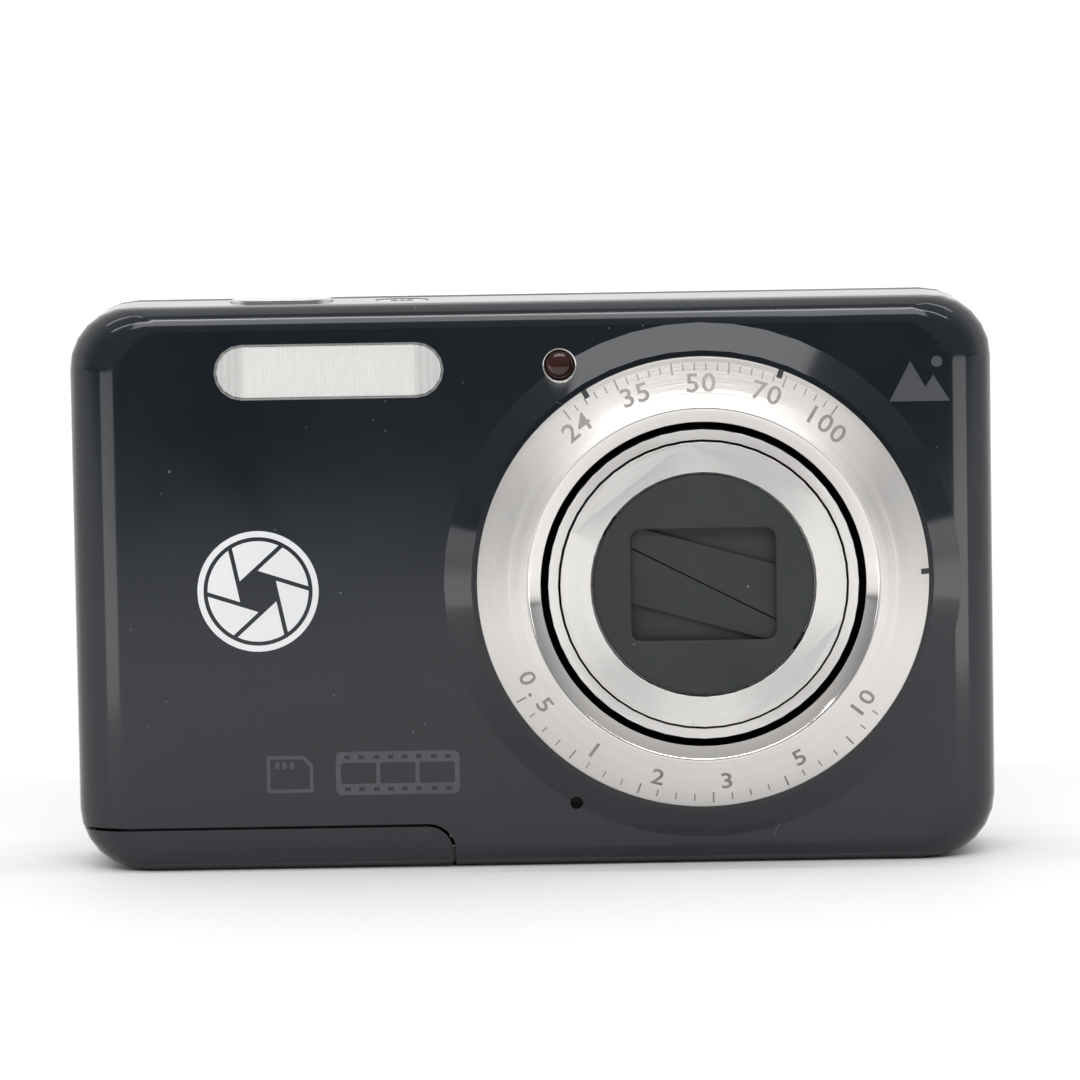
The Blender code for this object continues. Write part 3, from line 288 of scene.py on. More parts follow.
GRAIN, inside, outside = effect(
    "Moulded grain", [("Vector", None, "Vector"), ("Scale", 3000.0, "Float")], [("Height", "Float")]
)
fine = noise(GRAIN, inside.outputs["Vector"], inside.outputs["Scale"], 2.0, 0.6)
wider = maths(GRAIN, "MULTIPLY", inside.outputs["Scale"], 0.31)
coarse = noise(GRAIN, inside.outputs["Vector"], wider, 2.0)
fine, coarse = maths(GRAIN, "MULTIPLY", fine, 0.6), maths(GRAIN, "MULTIPLY", coarse, 0.4)
feed(GRAIN, outside.inputs["Height"], maths(GRAIN, "ADD", fine, coarse))
print("effects:", PATCHES.name, "and", GRAIN.name)

# %% [markdown]
# A lathe leaves fine rings round the axis. The distance from the axis drives a one-dimensional
# noise, so every ring is the same all the way round. The vector comes in already centred.

# %% Lathe rings
RINGS, inside, outside = effect(
    "Lathe rings", [("Vector", None, "Vector"), ("Lines", 9000.0, "Float")],
    [("Height", "Float"), ("Tone", "Float"), ("Radius", "Float")],
)
x, y, z = axes(RINGS, inside.outputs["Vector"])
square = maths(RINGS, "ADD", maths(RINGS, "MULTIPLY", x, x), maths(RINGS, "MULTIPLY", z, z))
radius = maths(RINGS, "SQRT", square)
heights = []
for share, detail in ((1.0, 1.0), (0.13, 2.0)):
    lines = place(RINGS, "ShaderNodeTexNoise", noise_dimensions="1D")
    feed(RINGS, lines.inputs["W"], radius)
    feed(RINGS, lines.inputs["Scale"], maths(RINGS, "MULTIPLY", inside.outputs["Lines"], share))
    lines.inputs["Detail"].default_value = detail
    heights.append(lines.outputs[0])
feed(RINGS, outside.inputs["Height"], heights[0])
halves = [maths(RINGS, "MULTIPLY", height, 0.5) for height in heights]
feed(RINGS, outside.inputs["Tone"], maths(RINGS, "ADD", *halves))
feed(RINGS, outside.inputs["Radius"], radius)
print("effect:", RINGS.name)

# %% [markdown]
# ## The finishes
#
# One recipe covers paint, moulded plastic and plain metal: a base colour that drifts in soft
# patches, lighter scratches, pale dust, a roughness that rises where it was handled, and a grain.
# Each surface gives its own amounts.


# %% The general recipe
def start(name):
    made = bpy.data.materials.new(name)
    made.use_nodes = True
    tree = made.node_tree
    where = place(tree, "ShaderNodeTexCoord").outputs["Object"]
    return made, tree, tree.nodes["Principled BSDF"], where


def scaled(colour, share):
    return tuple(min(1.0, c * share) for c in colour)


def over(tree, under, mask, share, colour):
    """A colour laid over another where a mask is, at a share of its full strength."""
    return blend(tree, maths(tree, "MULTIPLY", mask, share), under, colour)


def raised(tree, value, mask, share, clamp=False):
    """A value raised or lowered by a share of a mask."""
    return maths(tree, "MULTIPLY_ADD", mask, share, value, clamp=clamp)


def surface(
    name, colour, roughness, metallic=0.0, drift=0.2, grain=(3000.0, 0.1), scratches=0.3, dust=0.1,
    coat=0.0, scratch_colour=None, patch_scale=60.0, spread=0.08, base=None,
):
    """grain is its scale and strength; scratches and dust are how much there is of them."""
    made, tree, shader, where = start(name)
    patches = use(tree, PATCHES, Vector=where, Scale=patch_scale)["Value"]
    marks = use(tree, SCRATCHES, Vector=where, Cover=scratches)["Mask"]
    specks = use(tree, DUST, Vector=where, Scale=620.0, Cover=dust)["Mask"]
    pressed = use(tree, GRAIN, Vector=where, Scale=grain[0])["Height"]
    tint = base(tree, where) if base else colour
    tint = blend(tree, patches, tint, scaled(colour, 1 - drift) if base is None else tint)
    speckled = between(tree, pressed, 0.35, 0.65)
    tint = blend(tree, maths(tree, "MULTIPLY", speckled, drift), tint, scaled(colour, 1.5))
    light = scratch_colour or tuple(c * 0.7 + 0.12 for c in colour)
    tint = over(tree, tint, marks, 0.6, light)
    tint = over(tree, tint, specks, 0.55, (0.42, 0.41, 0.38))
    feed(tree, shader.inputs["Base Color"], tint)
    dull = raised(tree, roughness, patches, spread)
    dull = raised(tree, dull, marks, 0.15)
    dull = raised(tree, dull, specks, 0.4, clamp=True)
    feed(tree, shader.inputs["Roughness"], dull)
    shader.inputs["Metallic"].default_value = metallic
    shader.inputs["Coat Weight"].default_value = coat
    shader.inputs["Coat Roughness"].default_value = 0.05
    height = raised(tree, pressed, marks, -0.6)
    height = raised(tree, height, specks, 0.8)
    feed(tree, shader.inputs["Normal"], bumped(tree, height, grain[1], 0.00005))
    return made


FINISH = {}


def keep(slot, material):
    FINISH[slot] = material
    print("finish:", slot)
    return material


# %% [markdown]
# The front cover and the battery door are injection moulded and polished, with a hard clear coat.
# The black is slightly blue. Fine wiping scratches and a few specks of dust show in reflections,
# and the surface is never quite flat, so reflections ripple a little.

# %% Polished black
def polished_black():
    made, tree, shader, where = start("polished_black")
    patches = use(tree, PATCHES, Vector=where, Scale=45.0)["Value"]
    wiped = use(tree, SCRATCHES, Vector=where, Scale=38.0, Width=0.0010, Cover=0.42)["Mask"]
    specks = use(tree, DUST, Vector=where, Scale=360.0, Cover=0.16)["Mask"]
    lint = use(tree, DUST, Vector=where, Scale=900.0, Cover=0.07)["Mask"]
    tint = blend(tree, patches, (0.0075, 0.0105, 0.0145), (0.0100, 0.0135, 0.0180))
    tint = over(tree, tint, wiped, 0.16, (0.30, 0.31, 0.33))
    tint = over(tree, tint, specks, 0.22, (0.40, 0.40, 0.39))
    tint = over(tree, tint, lint, 0.25, (0.5, 0.5, 0.5))
    feed(tree, shader.inputs["Base Color"], tint)
    smeared = raised(tree, 0.06, patches, 0.05)
    smeared = raised(tree, smeared, wiped, 0.2)
    smeared = raised(tree, smeared, specks, 0.3, clamp=True)
    feed(tree, shader.inputs["Roughness"], smeared)
    ripple = noise(tree, where, 70.0, 1.0)
    height = raised(tree, maths(tree, "MULTIPLY", wiped, -0.15), ripple, 2.2)
    height = raised(tree, height, specks, 0.3)
    feed(tree, shader.inputs["Normal"], bumped(tree, height, 0.35, 0.00004))
    return made


keep("gloss_black", polished_black())

# %% [markdown]
# The back, the keys and the rocker are moulded in a satin black with a visible grain, worn a
# little brighter by thumbs. The lens barrier and the linings inside are matt, to swallow light.

# %% Satin, matt and inner plastics
keep("satin_black", surface(
    "satin_black", (0.022, 0.023, 0.026), 0.36, grain=(2600.0, 0.35), scratches=0.25, dust=0.08,
    spread=0.14))
keep("matt_black", surface(
    "matt_black", (0.022, 0.0255, 0.0275), 0.62, drift=0.14, grain=(6500.0, 0.5), scratches=0.12,
    dust=0.12, scratch_colour=(0.09, 0.095, 0.1), patch_scale=90.0))
keep("inner_plastic", surface(
    "inner_plastic", (0.032, 0.032, 0.034), 0.5, grain=(1900.0, 0.4), scratches=0.2, dust=0.06))
keep("rubber", surface(
    "rubber", (0.045, 0.044, 0.043), 0.78, grain=(1500.0, 0.6), scratches=0.0, dust=0.22))
keep("white_plastic", surface(
    "white_plastic", (0.74, 0.73, 0.68), 0.42, drift=0.08, grain=(2200.0, 0.2), scratches=0.1,
    dust=0.05, scratch_colour=(0.55, 0.54, 0.5)))
keep("latch_orange", surface(
    "latch_orange", (0.76, 0.24, 0.035), 0.42, drift=0.12, grain=(2400.0, 0.3), scratches=0.3,
    dust=0.08))

# %% [markdown]
# Plain metals: rolled steel sheet and turned pins, the bright plating on the top buttons and in
# the flash, and the brass of the contacts, the lead screw and the smallest gear.

# %% Steel, plating and brass
keep("steel", surface(
    "steel", (0.56, 0.56, 0.55), 0.28, metallic=1.0, drift=0.15, grain=(1400.0, 0.25),
    scratches=0.7, dust=0.04, scratch_colour=(0.8, 0.8, 0.8), spread=0.14))
keep("bright_metal", surface(
    "bright_metal", (0.84, 0.83, 0.81), 0.14, metallic=1.0, drift=0.08, grain=(2400.0, 0.08),
    scratches=0.5, dust=0.05, scratch_colour=(0.95, 0.95, 0.95), spread=0.08))
keep("brass", surface(
    "brass", (0.72, 0.51, 0.24), 0.26, metallic=1.0, drift=0.25, grain=(1800.0, 0.2), scratches=0.5,
    dust=0.03, scratch_colour=(0.9, 0.74, 0.42), spread=0.16))

# %% [markdown]
# Spun metal is turned on a lathe, so it shines across its rings and not along them. The shader's
# anisotropy stretches the highlight, guided by a UV map whose first axis runs round the lens. The
# rings themselves are a shallow bump. The chamfer inside the crest is polished after turning, so
# within that radius the rings fade and the roughness drops.


# %% Spun metal
def centred_on_lens(tree, where):
    return mapped(tree, where, (-LENS_X, 0.0, -LENS_Z))


def spun(name, colour, roughness, lines, depth, polished, anisotropic):
    """polished is the two radii between which the turned rings begin, or None for no chamfer."""
    made, tree, shader, where = start(name)
    middle = centred_on_lens(tree, where)
    rings = use(tree, RINGS, Vector=middle, Lines=lines)
    patches = use(tree, PATCHES, Vector=where, Scale=110.0)["Value"]
    marks = use(tree, SCRATCHES, Vector=where, Scale=70.0, Width=0.003, Cover=0.35)["Mask"]
    specks = use(tree, DUST, Vector=where, Scale=520.0, Cover=0.10)["Mask"]
    tint = blend(tree, rings["Tone"], scaled(colour, 0.86), scaled(colour, 1.08))
    tint = over(tree, tint, patches, 0.35, scaled(colour, 0.93))
    tint = over(tree, tint, marks, 0.25, scaled(colour, 1.2))
    tint = over(tree, tint, specks, 0.35, (0.30, 0.28, 0.26))
    feed(tree, shader.inputs["Base Color"], tint)
    turned = between(tree, rings["Radius"], polished[0], polished[1]) if polished else 1.0
    dull = raised(tree, roughness - 0.05, rings["Tone"], 0.10)
    dull = raised(tree, dull, patches, 0.05)
    if polished:
        dull = maths(tree, "MULTIPLY_ADD", turned, maths(tree, "SUBTRACT", dull, 0.07), 0.07)
    dull = raised(tree, dull, specks, 0.25, clamp=True)
    feed(tree, shader.inputs["Roughness"], dull)
    shader.inputs["Metallic"].default_value = 1.0
    shader.inputs["Anisotropic"].default_value = anisotropic
    tangent = place(tree, "ShaderNodeTangent", direction_type="UV_MAP", uv_map="round_the_lens")
    feed(tree, shader.inputs["Tangent"], tangent.outputs[0])
    height = maths(tree, "MULTIPLY", rings["Height"], turned) if polished else rings["Height"]
    height = raised(tree, height, marks, -0.4)
    feed(tree, shader.inputs["Normal"], bumped(tree, height, depth, 0.00003))
    return made


CHAMFER = (17.25 * MM, 17.5 * MM)
keep("spun_metal", spun("spun_metal", (0.80, 0.772, 0.745), 0.32, 11000.0, 0.30, CHAMFER, 0.8))
keep("spun_rings", spun("spun_rings", (0.86, 0.84, 0.815), 0.42, 14000.0, 0.22, None, 0.88))

# %% [markdown]
# The flash cover is clear plastic with a frosted, ribbed band at each end that spreads the light.
# Fine upright lines run across the whole window. The ribs are a wave along x, deeper in the end
# bands. The cover's near-white colour, brightest in the clear middle, is painted light: it stands
# for the light scattered in the plastic and sent back by the bright reflector behind.

# %% The flash cover
FLASH_LOW, FLASH_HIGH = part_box("flash_window")
FLASH_X = (FLASH_LOW[0] + FLASH_HIGH[0]) / 2
FLASH_Z = (FLASH_LOW[2] + FLASH_HIGH[2]) / 2


def ribbed_window():
    made, tree, shader, where = start("ribbed_window")
    middle = mapped(tree, where, (-FLASH_X, 0, -FLASH_Z))
    x, y, z = axes(tree, middle)
    out = maths(tree, "ABSOLUTE", x)
    ends = between(tree, out, 8.2 * MM, 8.7 * MM)
    ribs = maths(tree, "SINE", maths(tree, "MULTIPLY", x, 2 * math.pi / (0.42 * MM)))
    fine = maths(tree, "SINE", maths(tree, "MULTIPLY", x, 2 * math.pi / (0.27 * MM)))
    specks = use(tree, DUST, Vector=where, Scale=800.0, Cover=0.12)["Mask"]
    patches = use(tree, PATCHES, Vector=where, Scale=260.0)["Value"]
    # painted light: a near-white colour, brightest in the clear middle, for the light scattered in
    # the cover and the reflector behind
    tint = blend(tree, ends, (0.97, 0.955, 0.93), (0.80, 0.82, 0.79))
    lined = maths(tree, "MULTIPLY", between(tree, fine, -1.0, 1.0), 0.25)
    tint = blend(tree, lined, tint, (0.70, 0.67, 0.63))
    tint = over(tree, tint, patches, 0.12, (0.72, 0.71, 0.68))
    tint = over(tree, tint, specks, 0.5, (0.35, 0.33, 0.3))
    feed(tree, shader.inputs["Base Color"], tint)
    dull = raised(tree, 0.12, ends, 0.25)
    feed(tree, shader.inputs["Roughness"], raised(tree, dull, patches, 0.08))
    shader.inputs["Transmission Weight"].default_value = 0.2
    shader.inputs["IOR"].default_value = 1.49
    depth = maths(tree, "MULTIPLY", ribs, ends)
    depth = raised(tree, depth, fine, 0.22)
    feed(tree, shader.inputs["Normal"], bumped(tree, depth, 0.7, 0.00008))
    return made


keep("clear_window", ribbed_window())

# %% [markdown]
# The focus lamp looks out through a dark amber lens. The optics are coated glass: almost clear,
# with a faint violet tint. Glass keeps a constant transmission, and its dust and smears are in the
# colour and roughness.


# %% Lamp lens and optics
def glassy(name, clean, dirty, clear, roughness, index):
    made, tree, shader, where = start(name)
    patches = use(tree, PATCHES, Vector=where, Scale=300.0)["Value"]
    specks = use(tree, DUST, Vector=where, Scale=900.0, Cover=0.12)["Mask"]
    tint = blend(tree, patches, clean, dirty)
    tint = over(tree, tint, specks, 0.4, (0.4, 0.38, 0.36))
    feed(tree, shader.inputs["Base Color"], tint)
    dull = raised(tree, roughness, patches, 0.04)
    feed(tree, shader.inputs["Roughness"], raised(tree, dull, specks, 0.3))
    shader.inputs["Transmission Weight"].default_value = clear
    shader.inputs["IOR"].default_value = index
    height = raised(tree, patches, specks, 0.5)
    feed(tree, shader.inputs["Normal"], bumped(tree, height, 0.1, 0.00002))
    return made


keep("amber_window", glassy(
    "amber_window", (0.055, 0.014, 0.009), (0.035, 0.010, 0.007), 0.25, 0.05, 1.5))
keep("lens_glass", glassy(
    "lens_glass", (0.86, 0.88, 0.98), (0.80, 0.80, 0.94), 0.92, 0.01, 1.6))

# %% [markdown]
# The screen is off: a glossy pane printed black round its rim, with the display behind it a shade
# lighter and bluer. A box mask in the pane's own coordinates marks the display.

# %% Screen pane
PANE_LOW, PANE_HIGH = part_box("screen_window")
PANE_X = (PANE_LOW[0] + PANE_HIGH[0]) / 2
PANE_Z = (PANE_LOW[2] + PANE_HIGH[2]) / 2


def in_box(tree, across, up, half_x, half_z, edge=0.05 * MM):
    """1 inside a rectangle of these half sizes about the origin of across and up."""
    x = between(tree, maths(tree, "ABSOLUTE", across), half_x, half_x + edge, 1.0, 0.0)
    z = between(tree, maths(tree, "ABSOLUTE", up), half_z, half_z + edge, 1.0, 0.0)
    return maths(tree, "MULTIPLY", x, z)


def pane():
    made, tree, shader, where = start("screen_pane")
    x, y, z = axes(tree, mapped(tree, where, (-PANE_X, 0, -PANE_Z)))
    shown = in_box(tree, x, maths(tree, "SUBTRACT", z, 0.6 * MM), 25.6 * MM, 19.3 * MM)
    patches = use(tree, PATCHES, Vector=where, Scale=50.0)["Value"]
    marks = use(tree, SCRATCHES, Vector=where, Scale=40.0, Width=0.0012, Cover=0.6)["Mask"]
    specks = use(tree, DUST, Vector=where, Scale=420.0, Cover=0.16)["Mask"]
    tint = blend(tree, shown, (0.006, 0.006, 0.007), (0.022, 0.025, 0.031))
    tint = over(tree, tint, marks, 0.2, (0.35, 0.36, 0.38))
    tint = over(tree, tint, specks, 0.3, (0.4, 0.4, 0.4))
    feed(tree, shader.inputs["Base Color"], tint)
    dull = raised(tree, 0.04, patches, 0.09)
    feed(tree, shader.inputs["Roughness"], raised(tree, dull, specks, 0.3))
    shader.inputs["Coat Weight"].default_value = 0.3
    height = raised(tree, maths(tree, "MULTIPLY", marks, -0.4), specks, 0.5)
    feed(tree, shader.inputs["Normal"], bumped(tree, height, 0.15, 0.00003))
    return made


keep("screen_glass", pane())

# %% [markdown]
# Inside, the boards are green lacquer over copper tracks, with rows of tinned pads. A brick
# pattern gives the tracks their straight runs and turns. The battery has a printed band round a
# grey can, and the memory card a pale label.


# %% Boards, battery and card
def tracks(tree, where):
    lanes = place(tree, "ShaderNodeTexBrick", offset=0.37, squash=0.6)
    feed(tree, lanes.inputs["Vector"], mapped(tree, where, rotation=(math.radians(90), 0, 0)))
    feed(tree, lanes.inputs["Color1"], (0.018, 0.14, 0.055))
    feed(tree, lanes.inputs["Color2"], (0.024, 0.19, 0.075))
    feed(tree, lanes.inputs["Mortar"], (0.05, 0.30, 0.12))
    lanes.inputs["Scale"].default_value = 260.0
    lanes.inputs["Mortar Size"].default_value = 0.045
    shorter = mapped(tree, where, scale=(1, 1, 1.4))
    pads = use(tree, DUST, Vector=shorter, Scale=420.0, Cover=0.34)["Mask"]
    return blend(tree, pads, lanes.outputs["Color"], (0.66, 0.6, 0.42))


def label_band(low, high, inked, plain):
    """A band of print between two heights, over the plain colour of the part."""

    def base(tree, where):
        x, y, z = axes(tree, where)
        above_low = between(tree, z, low, low + 0.1 * MM)
        under_high = between(tree, z, high, high + 0.1 * MM, 1.0, 0.0)
        inside = maths(tree, "MULTIPLY", above_low, under_high)
        rows = maths(tree, "FRACT", maths(tree, "MULTIPLY", z, 1 / (6.5 * MM)))
        stripe = maths(tree, "LESS_THAN", rows, 0.12)
        ink = blend(tree, maths(tree, "MULTIPLY", stripe, 0.7), inked, plain)
        return blend(tree, inside, plain, ink)

    return base


battery_low, battery_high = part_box("battery")
card_low, card_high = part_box("memory_card")
keep("board_green", surface(
    "board_green", (0.02, 0.15, 0.06), 0.32, grain=(900.0, 0.25), scratches=0.0, dust=0.05,
    base=tracks))
keep("battery_grey", surface(
    "battery_grey", (0.14, 0.15, 0.17), 0.4, grain=(1500.0, 0.2), scratches=0.4, dust=0.05,
    base=label_band(
        battery_low[2] + 4 * MM, battery_high[2] - 9 * MM, (0.5, 0.5, 0.48), (0.10, 0.11, 0.13))))
keep("card_blue", surface(
    "card_blue", (0.03, 0.07, 0.2), 0.42, grain=(1700.0, 0.3), scratches=0.4, dust=0.05,
    base=label_band(
        card_low[2] + 4 * MM, card_high[2] - 6 * MM, (0.62, 0.62, 0.6), (0.03, 0.07, 0.2))))

# %% [markdown]
# ## Dressing the parts
#
# A part arrives as loose triangles. A copy of it is welded, its flat areas are joined back into
# single faces, its sharp edges get a small round so that they catch the light, and it is shaded
# smooth. At each corner the shading follows the largest flat area that meets there, so big flat
# faces stay flat to the very edge, which matters most under a mirror finish.


# %% Welded, rounded copies
def welded(node):
    shape = bmesh.new()
    shape.from_mesh(nodes[node].data)
    bmesh.ops.remove_doubles(shape, verts=shape.verts, dist=0.002 * MM)
    bmesh.ops.dissolve_limit(
        shape, angle_limit=math.radians(0.4), verts=shape.verts, edges=shape.edges)
    bmesh.ops.recalc_face_normals(shape, faces=shape.faces)
    return shape


def rounded_edges(shape, width, steps=2):
    hard = math.radians(38)
    sharp = [e for e in shape.edges if len(e.link_faces) == 2 and e.calc_face_angle(0) > hard]
    bmesh.ops.bevel(
        shape, geom=sharp, offset=width, offset_type="OFFSET", affect="EDGES", segments=steps,
        profile=0.5, clamp_overlap=True, material=-1,
    )


print("copies can be welded and rounded")

# %% [markdown]
# For the shading, faces that lie in one plane are first counted as one area. Then, at each vertex,
# the faces that meet there without a sharp edge between them share one normal, in which a face has
# the weight of its whole flat area.


# %% Steady shading
def groups_of(items, pairs):
    """Which group each item falls in when every pair is joined."""
    leader = {item: item for item in items}

    def find(item):
        while leader[item] is not item:
            leader[item] = leader[leader[item]]
            item = leader[item]
        return item

    for a, b in pairs:
        leader[find(a)] = find(b)
    return {item: find(item) for item in items}


def steady_shading(mesh):
    """Sets each corner's normal from the faces that meet smoothly there, weighed by flat area."""
    shape = bmesh.new()
    shape.from_mesh(mesh)
    level = math.radians(0.5)
    inner = [e for e in shape.edges if len(e.link_faces) == 2]
    flat = groups_of(shape.faces[:], [e.link_faces for e in inner if e.calc_face_angle(0) < level])
    area = {}
    for face, group in flat.items():
        area[group] = area.get(group, 0.0) + face.calc_area()
    corner = {}
    for vert in shape.verts:
        smooth = [e.link_faces for e in vert.link_edges if e.smooth and len(e.link_faces) == 2]
        joined = groups_of(vert.link_faces[:], smooth)
        total = {}
        for face, group in joined.items():
            total[group] = total.get(group, Vector((0, 0, 0))) + face.normal * area[flat[face]]
        for face, group in joined.items():
            corner[vert.index, face.index] = total[group].normalized()
    normals = [None] * len(mesh.loops)
    for face in mesh.polygons:
        for loop in face.loop_indices:
            normals[loop] = corner[mesh.loops[loop].vertex_index, face.index]
    shape.free()
    mesh.normals_split_custom_set(normals)


print("shading ready")

# %% [markdown]
# A finished shape becomes an object at the origin with its one material. Spun parts also get a UV
# map round the lens axis. A part whose volume changes by more than a few hundredths when its edges
# are rounded keeps its sharp edges, because the round was too large for its thin walls.


# %% Dressing
def finished(name, shape, material, degrees=34):
    mesh = bpy.data.meshes.new(name)
    shape.to_mesh(mesh)
    shape.free()
    mesh.shade_smooth()
    mesh.set_sharp_from_angle(angle=math.radians(degrees))
    made = bpy.data.objects.new(name, mesh)
    bpy.context.scene.collection.objects.link(made)
    mesh.materials.append(material)
    return made


def lens_uv(obj):
    """u runs round the lens axis and v away from it, for the lie of the lathe rings."""
    layer = obj.data.uv_layers.new(name="round_the_lens")
    for face in obj.data.polygons:
        middle = math.atan2(face.center.z - LENS_Z, face.center.x - LENS_X)
        for loop in face.loop_indices:
            point = obj.data.vertices[obj.data.loops[loop].vertex_index].co
            across, up = point.x - LENS_X, point.z - LENS_Z
            turn = math.atan2(up, across) - middle
            turn = (turn + math.pi) % (2 * math.pi) - math.pi
            away = math.hypot(across, up) / (20 * MM) + point.y / (20 * MM)
            layer.data[loop].uv = ((middle + turn) / (2 * math.pi) * 8, away)
    return obj


BAND_SLOPE = 21.3  # degrees from the front face


def crease_round_lens(mesh):
    """The sloped band round the bezel starts and ends at a crisp line, whatever it meets."""
    shape = bmesh.new()
    shape.from_mesh(mesh)

    def on_band(face):
        middle = face.calc_center_median()
        out = Vector((middle.x - LENS_X, 0, middle.z - LENS_Z))
        tilted = math.degrees(face.normal.angle(Vector((0, -1, 0)), 0.0))
        leans_out = face.normal.dot(out.normalized()) > 0.34
        return middle.y < FACE_Y and abs(tilted - BAND_SLOPE) < 1.5 and leans_out

    for edge in shape.edges:
        sides = edge.link_faces
        if len(sides) == 2 and on_band(sides[0]) != on_band(sides[1]):
            edge.smooth = False
    shape.to_mesh(mesh)
    shape.free()


def stand_in(piece, node):
    """The piece takes the place of a part, on that part's own body."""
    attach(piece, nodes[node]["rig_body"])
    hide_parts(node)
    return piece


MOST_LOST = 0.06  # the share of its volume that rounding may change


def dress(node, slot, width=0.0, finish=None, degrees=34):
    """The part's own shape with rounded edges, in its finish, in place of the part."""
    shape = welded(node)
    before = abs(shape.calc_volume(signed=True))
    if width:
        rounded_edges(shape, width)
        if abs(abs(shape.calc_volume(signed=True)) - before) > MOST_LOST * before:
            shape.free()
            shape = welded(node)
            print("  left sharp:", node)
    piece = finished(node + "_look", shape, FINISH[finish or slot], degrees)
    if node == "front_cover":
        crease_round_lens(piece.data)
    steady_shading(piece.data)
    if (finish or slot).startswith("spun"):
        lens_uv(piece)
    return stand_in(piece, node)


print("ready to dress", len(nodes), "parts")

# %% [markdown]
# The covers come first. On the polished ones an edge already counts as sharp at a small angle,
# because the slope round the lens meets the front face at little more than twenty degrees.

# %% The covers
for cover, slot, width, degrees in (
    ("front_cover", "gloss_black", 0.13, 19.5), ("battery_door", "gloss_black", 0.10, 19.5),
    ("rear_cover", "satin_black", 0.13, 34),
):
    made = dress(cover, slot, width * MM, degrees=degrees)
    print("dressed", made.name, len(made.data.polygons), "faces")

# %% [markdown]
# ## The lens from outside in
#
# The bezel is one turned piece: a cone that rises to a crest, and a polished chamfer down to the
# bore. Its profile is given as radius and depth, most corners are eased with a small round, and the
# profile is spun about the lens axis.


# %% Turned pieces
def eased(profile, radii):
    """The closed profile with each corner replaced by a short curve of about that radius."""
    points = []
    count = len(profile)
    for i, (corner, radius) in enumerate(zip(profile, radii)):
        here = Vector(corner)
        before, after = Vector(profile[i - 1]) - here, Vector(profile[(i + 1) % count]) - here
        reach = min(radius, before.length * 0.45, after.length * 0.45)
        if reach < 0.005:
            points.append(here)
            continue
        near, far = here + before.normalized() * reach, here + after.normalized() * reach
        for step in range(5):
            t = step / 4
            points.append(near * (1 - t) ** 2 + here * (2 * t * (1 - t)) + far * t**2)
    return points


def spun_shape(profile, steps, at, closed=True):
    """Spins a profile of (radius, depth), both in millimetres, about a line along y."""
    shape = bmesh.new()
    verts = [shape.verts.new((at[0] + r * MM, y * MM, at[1])) for r, y in profile]
    pairs = list(zip(verts, verts[1:])) + ([(verts[-1], verts[0])] if closed else [])
    edges = [shape.edges.new(pair) for pair in pairs]
    bmesh.ops.spin(
        shape, geom=verts + edges, cent=(at[0], 0, at[1]), axis=(0, 1, 0), angle=2 * math.pi,
        steps=steps, use_merge=True, use_duplicate=False,
    )
    bmesh.ops.remove_doubles(shape, verts=shape.verts, dist=0.0005 * MM)
    bmesh.ops.recalc_face_normals(shape, faces=shape.faces)
    return shape


crest, rim = CREST_Y / MM, CREST_Y / MM + 2.9
under, back, lip = rim + 0.35, FACE_Y / MM, crest + 2.1
CREST_RADIUS, RIM_RADIUS, BORE_RADIUS = 17.5, 22.35, 16.0
bezel_profile = [
    (CREST_RADIUS, crest), (RIM_RADIUS, rim), (RIM_RADIUS, under), (20.3, under), (20.3, back),
    (18.3, back), (18.3, lip), (BORE_RADIUS, lip), (BORE_RADIUS, crest + 0.9), (17.25, crest),
]
bezel_rounds = [0.09, 0.16, 0.08, 0, 0, 0, 0, 0.05, 0.08, 0.09]
bezel = spun_shape(eased(bezel_profile, bezel_rounds), 160, (LENS_X, LENS_Z))
bezel = lens_uv(finished("bezel_ring", bezel, FINISH["spun_metal"]))
stand_in(bezel, "lens_bezel")
print("bezel:", len(bezel.data.polygons), "faces")

# %% [markdown]
# The two telescoping barrels show only their flat front rings, spun like the bezel. The cap in
# front of the barrier is matt, and its window has a clear bevel whose lower edge catches the light.
# The four thin blades of the barrier sit behind it.

# %% Barrels, cap and blades
cam = dress("cam_barrel", "spun_metal", 0.07 * MM, "spun_rings")
cam.data.materials.append(FINISH["matt_black"])
for face in cam.data.polygons:
    if face.center.y > CREST_Y + 2 * MM:
        face.material_index = 1
dress("inner_barrel", "spun_metal", 0.09 * MM, "spun_rings")


def bevelled_cap():
    shape = welded("front_cap")
    rounded_edges(shape, 0.26 * MM, 3)
    return finished("barrier_cap", shape, FINISH["matt_black"])


stand_in(bevelled_cap(), "front_cap")
for blade in ("upper_inner_blade", "upper_outer_blade", "lower_inner_blade", "lower_outer_blade"):
    dress(blade, "matt_black", 0.03 * MM)
for part, slot in (
    ("lens_housing", "inner_plastic"), ("linear_guide", "matt_black"),
    ("lens_base", "inner_plastic"), ("front_lens", "lens_glass"), ("rear_lens", "inner_plastic"),
    ("focus_lens", "inner_plastic"), ("focus_screw", "brass"), ("focus_motor", "steel"),
    ("zoom_motor", "steel"), ("motor_pinion", "brass"), ("drive_gear", "white_plastic"),
    ("image_sensor", "board_green"),
):
    dress(part, slot, 0.04 * MM if slot != "lens_glass" else 0.0)
print("lens dressed")

# %% [markdown]
# The cone carries an engraved scale: plain numbers for the zoom range above, plain distances
# below, and short ticks between them. An engraved mark is slightly darker and rougher than the
# metal round it. Each mark is a thin plate laid on the cone, turned to follow its curve.

# %% Places on the cone
CONE_TILT = math.atan2(rim - crest, RIM_RADIUS - CREST_RADIUS)
keep("engraved", surface(
    "engraved", (0.36, 0.345, 0.33), 0.55, metallic=1.0, drift=0.3, grain=(5200.0, 0.5),
    scratches=0.2, dust=0.1, spread=0.1))


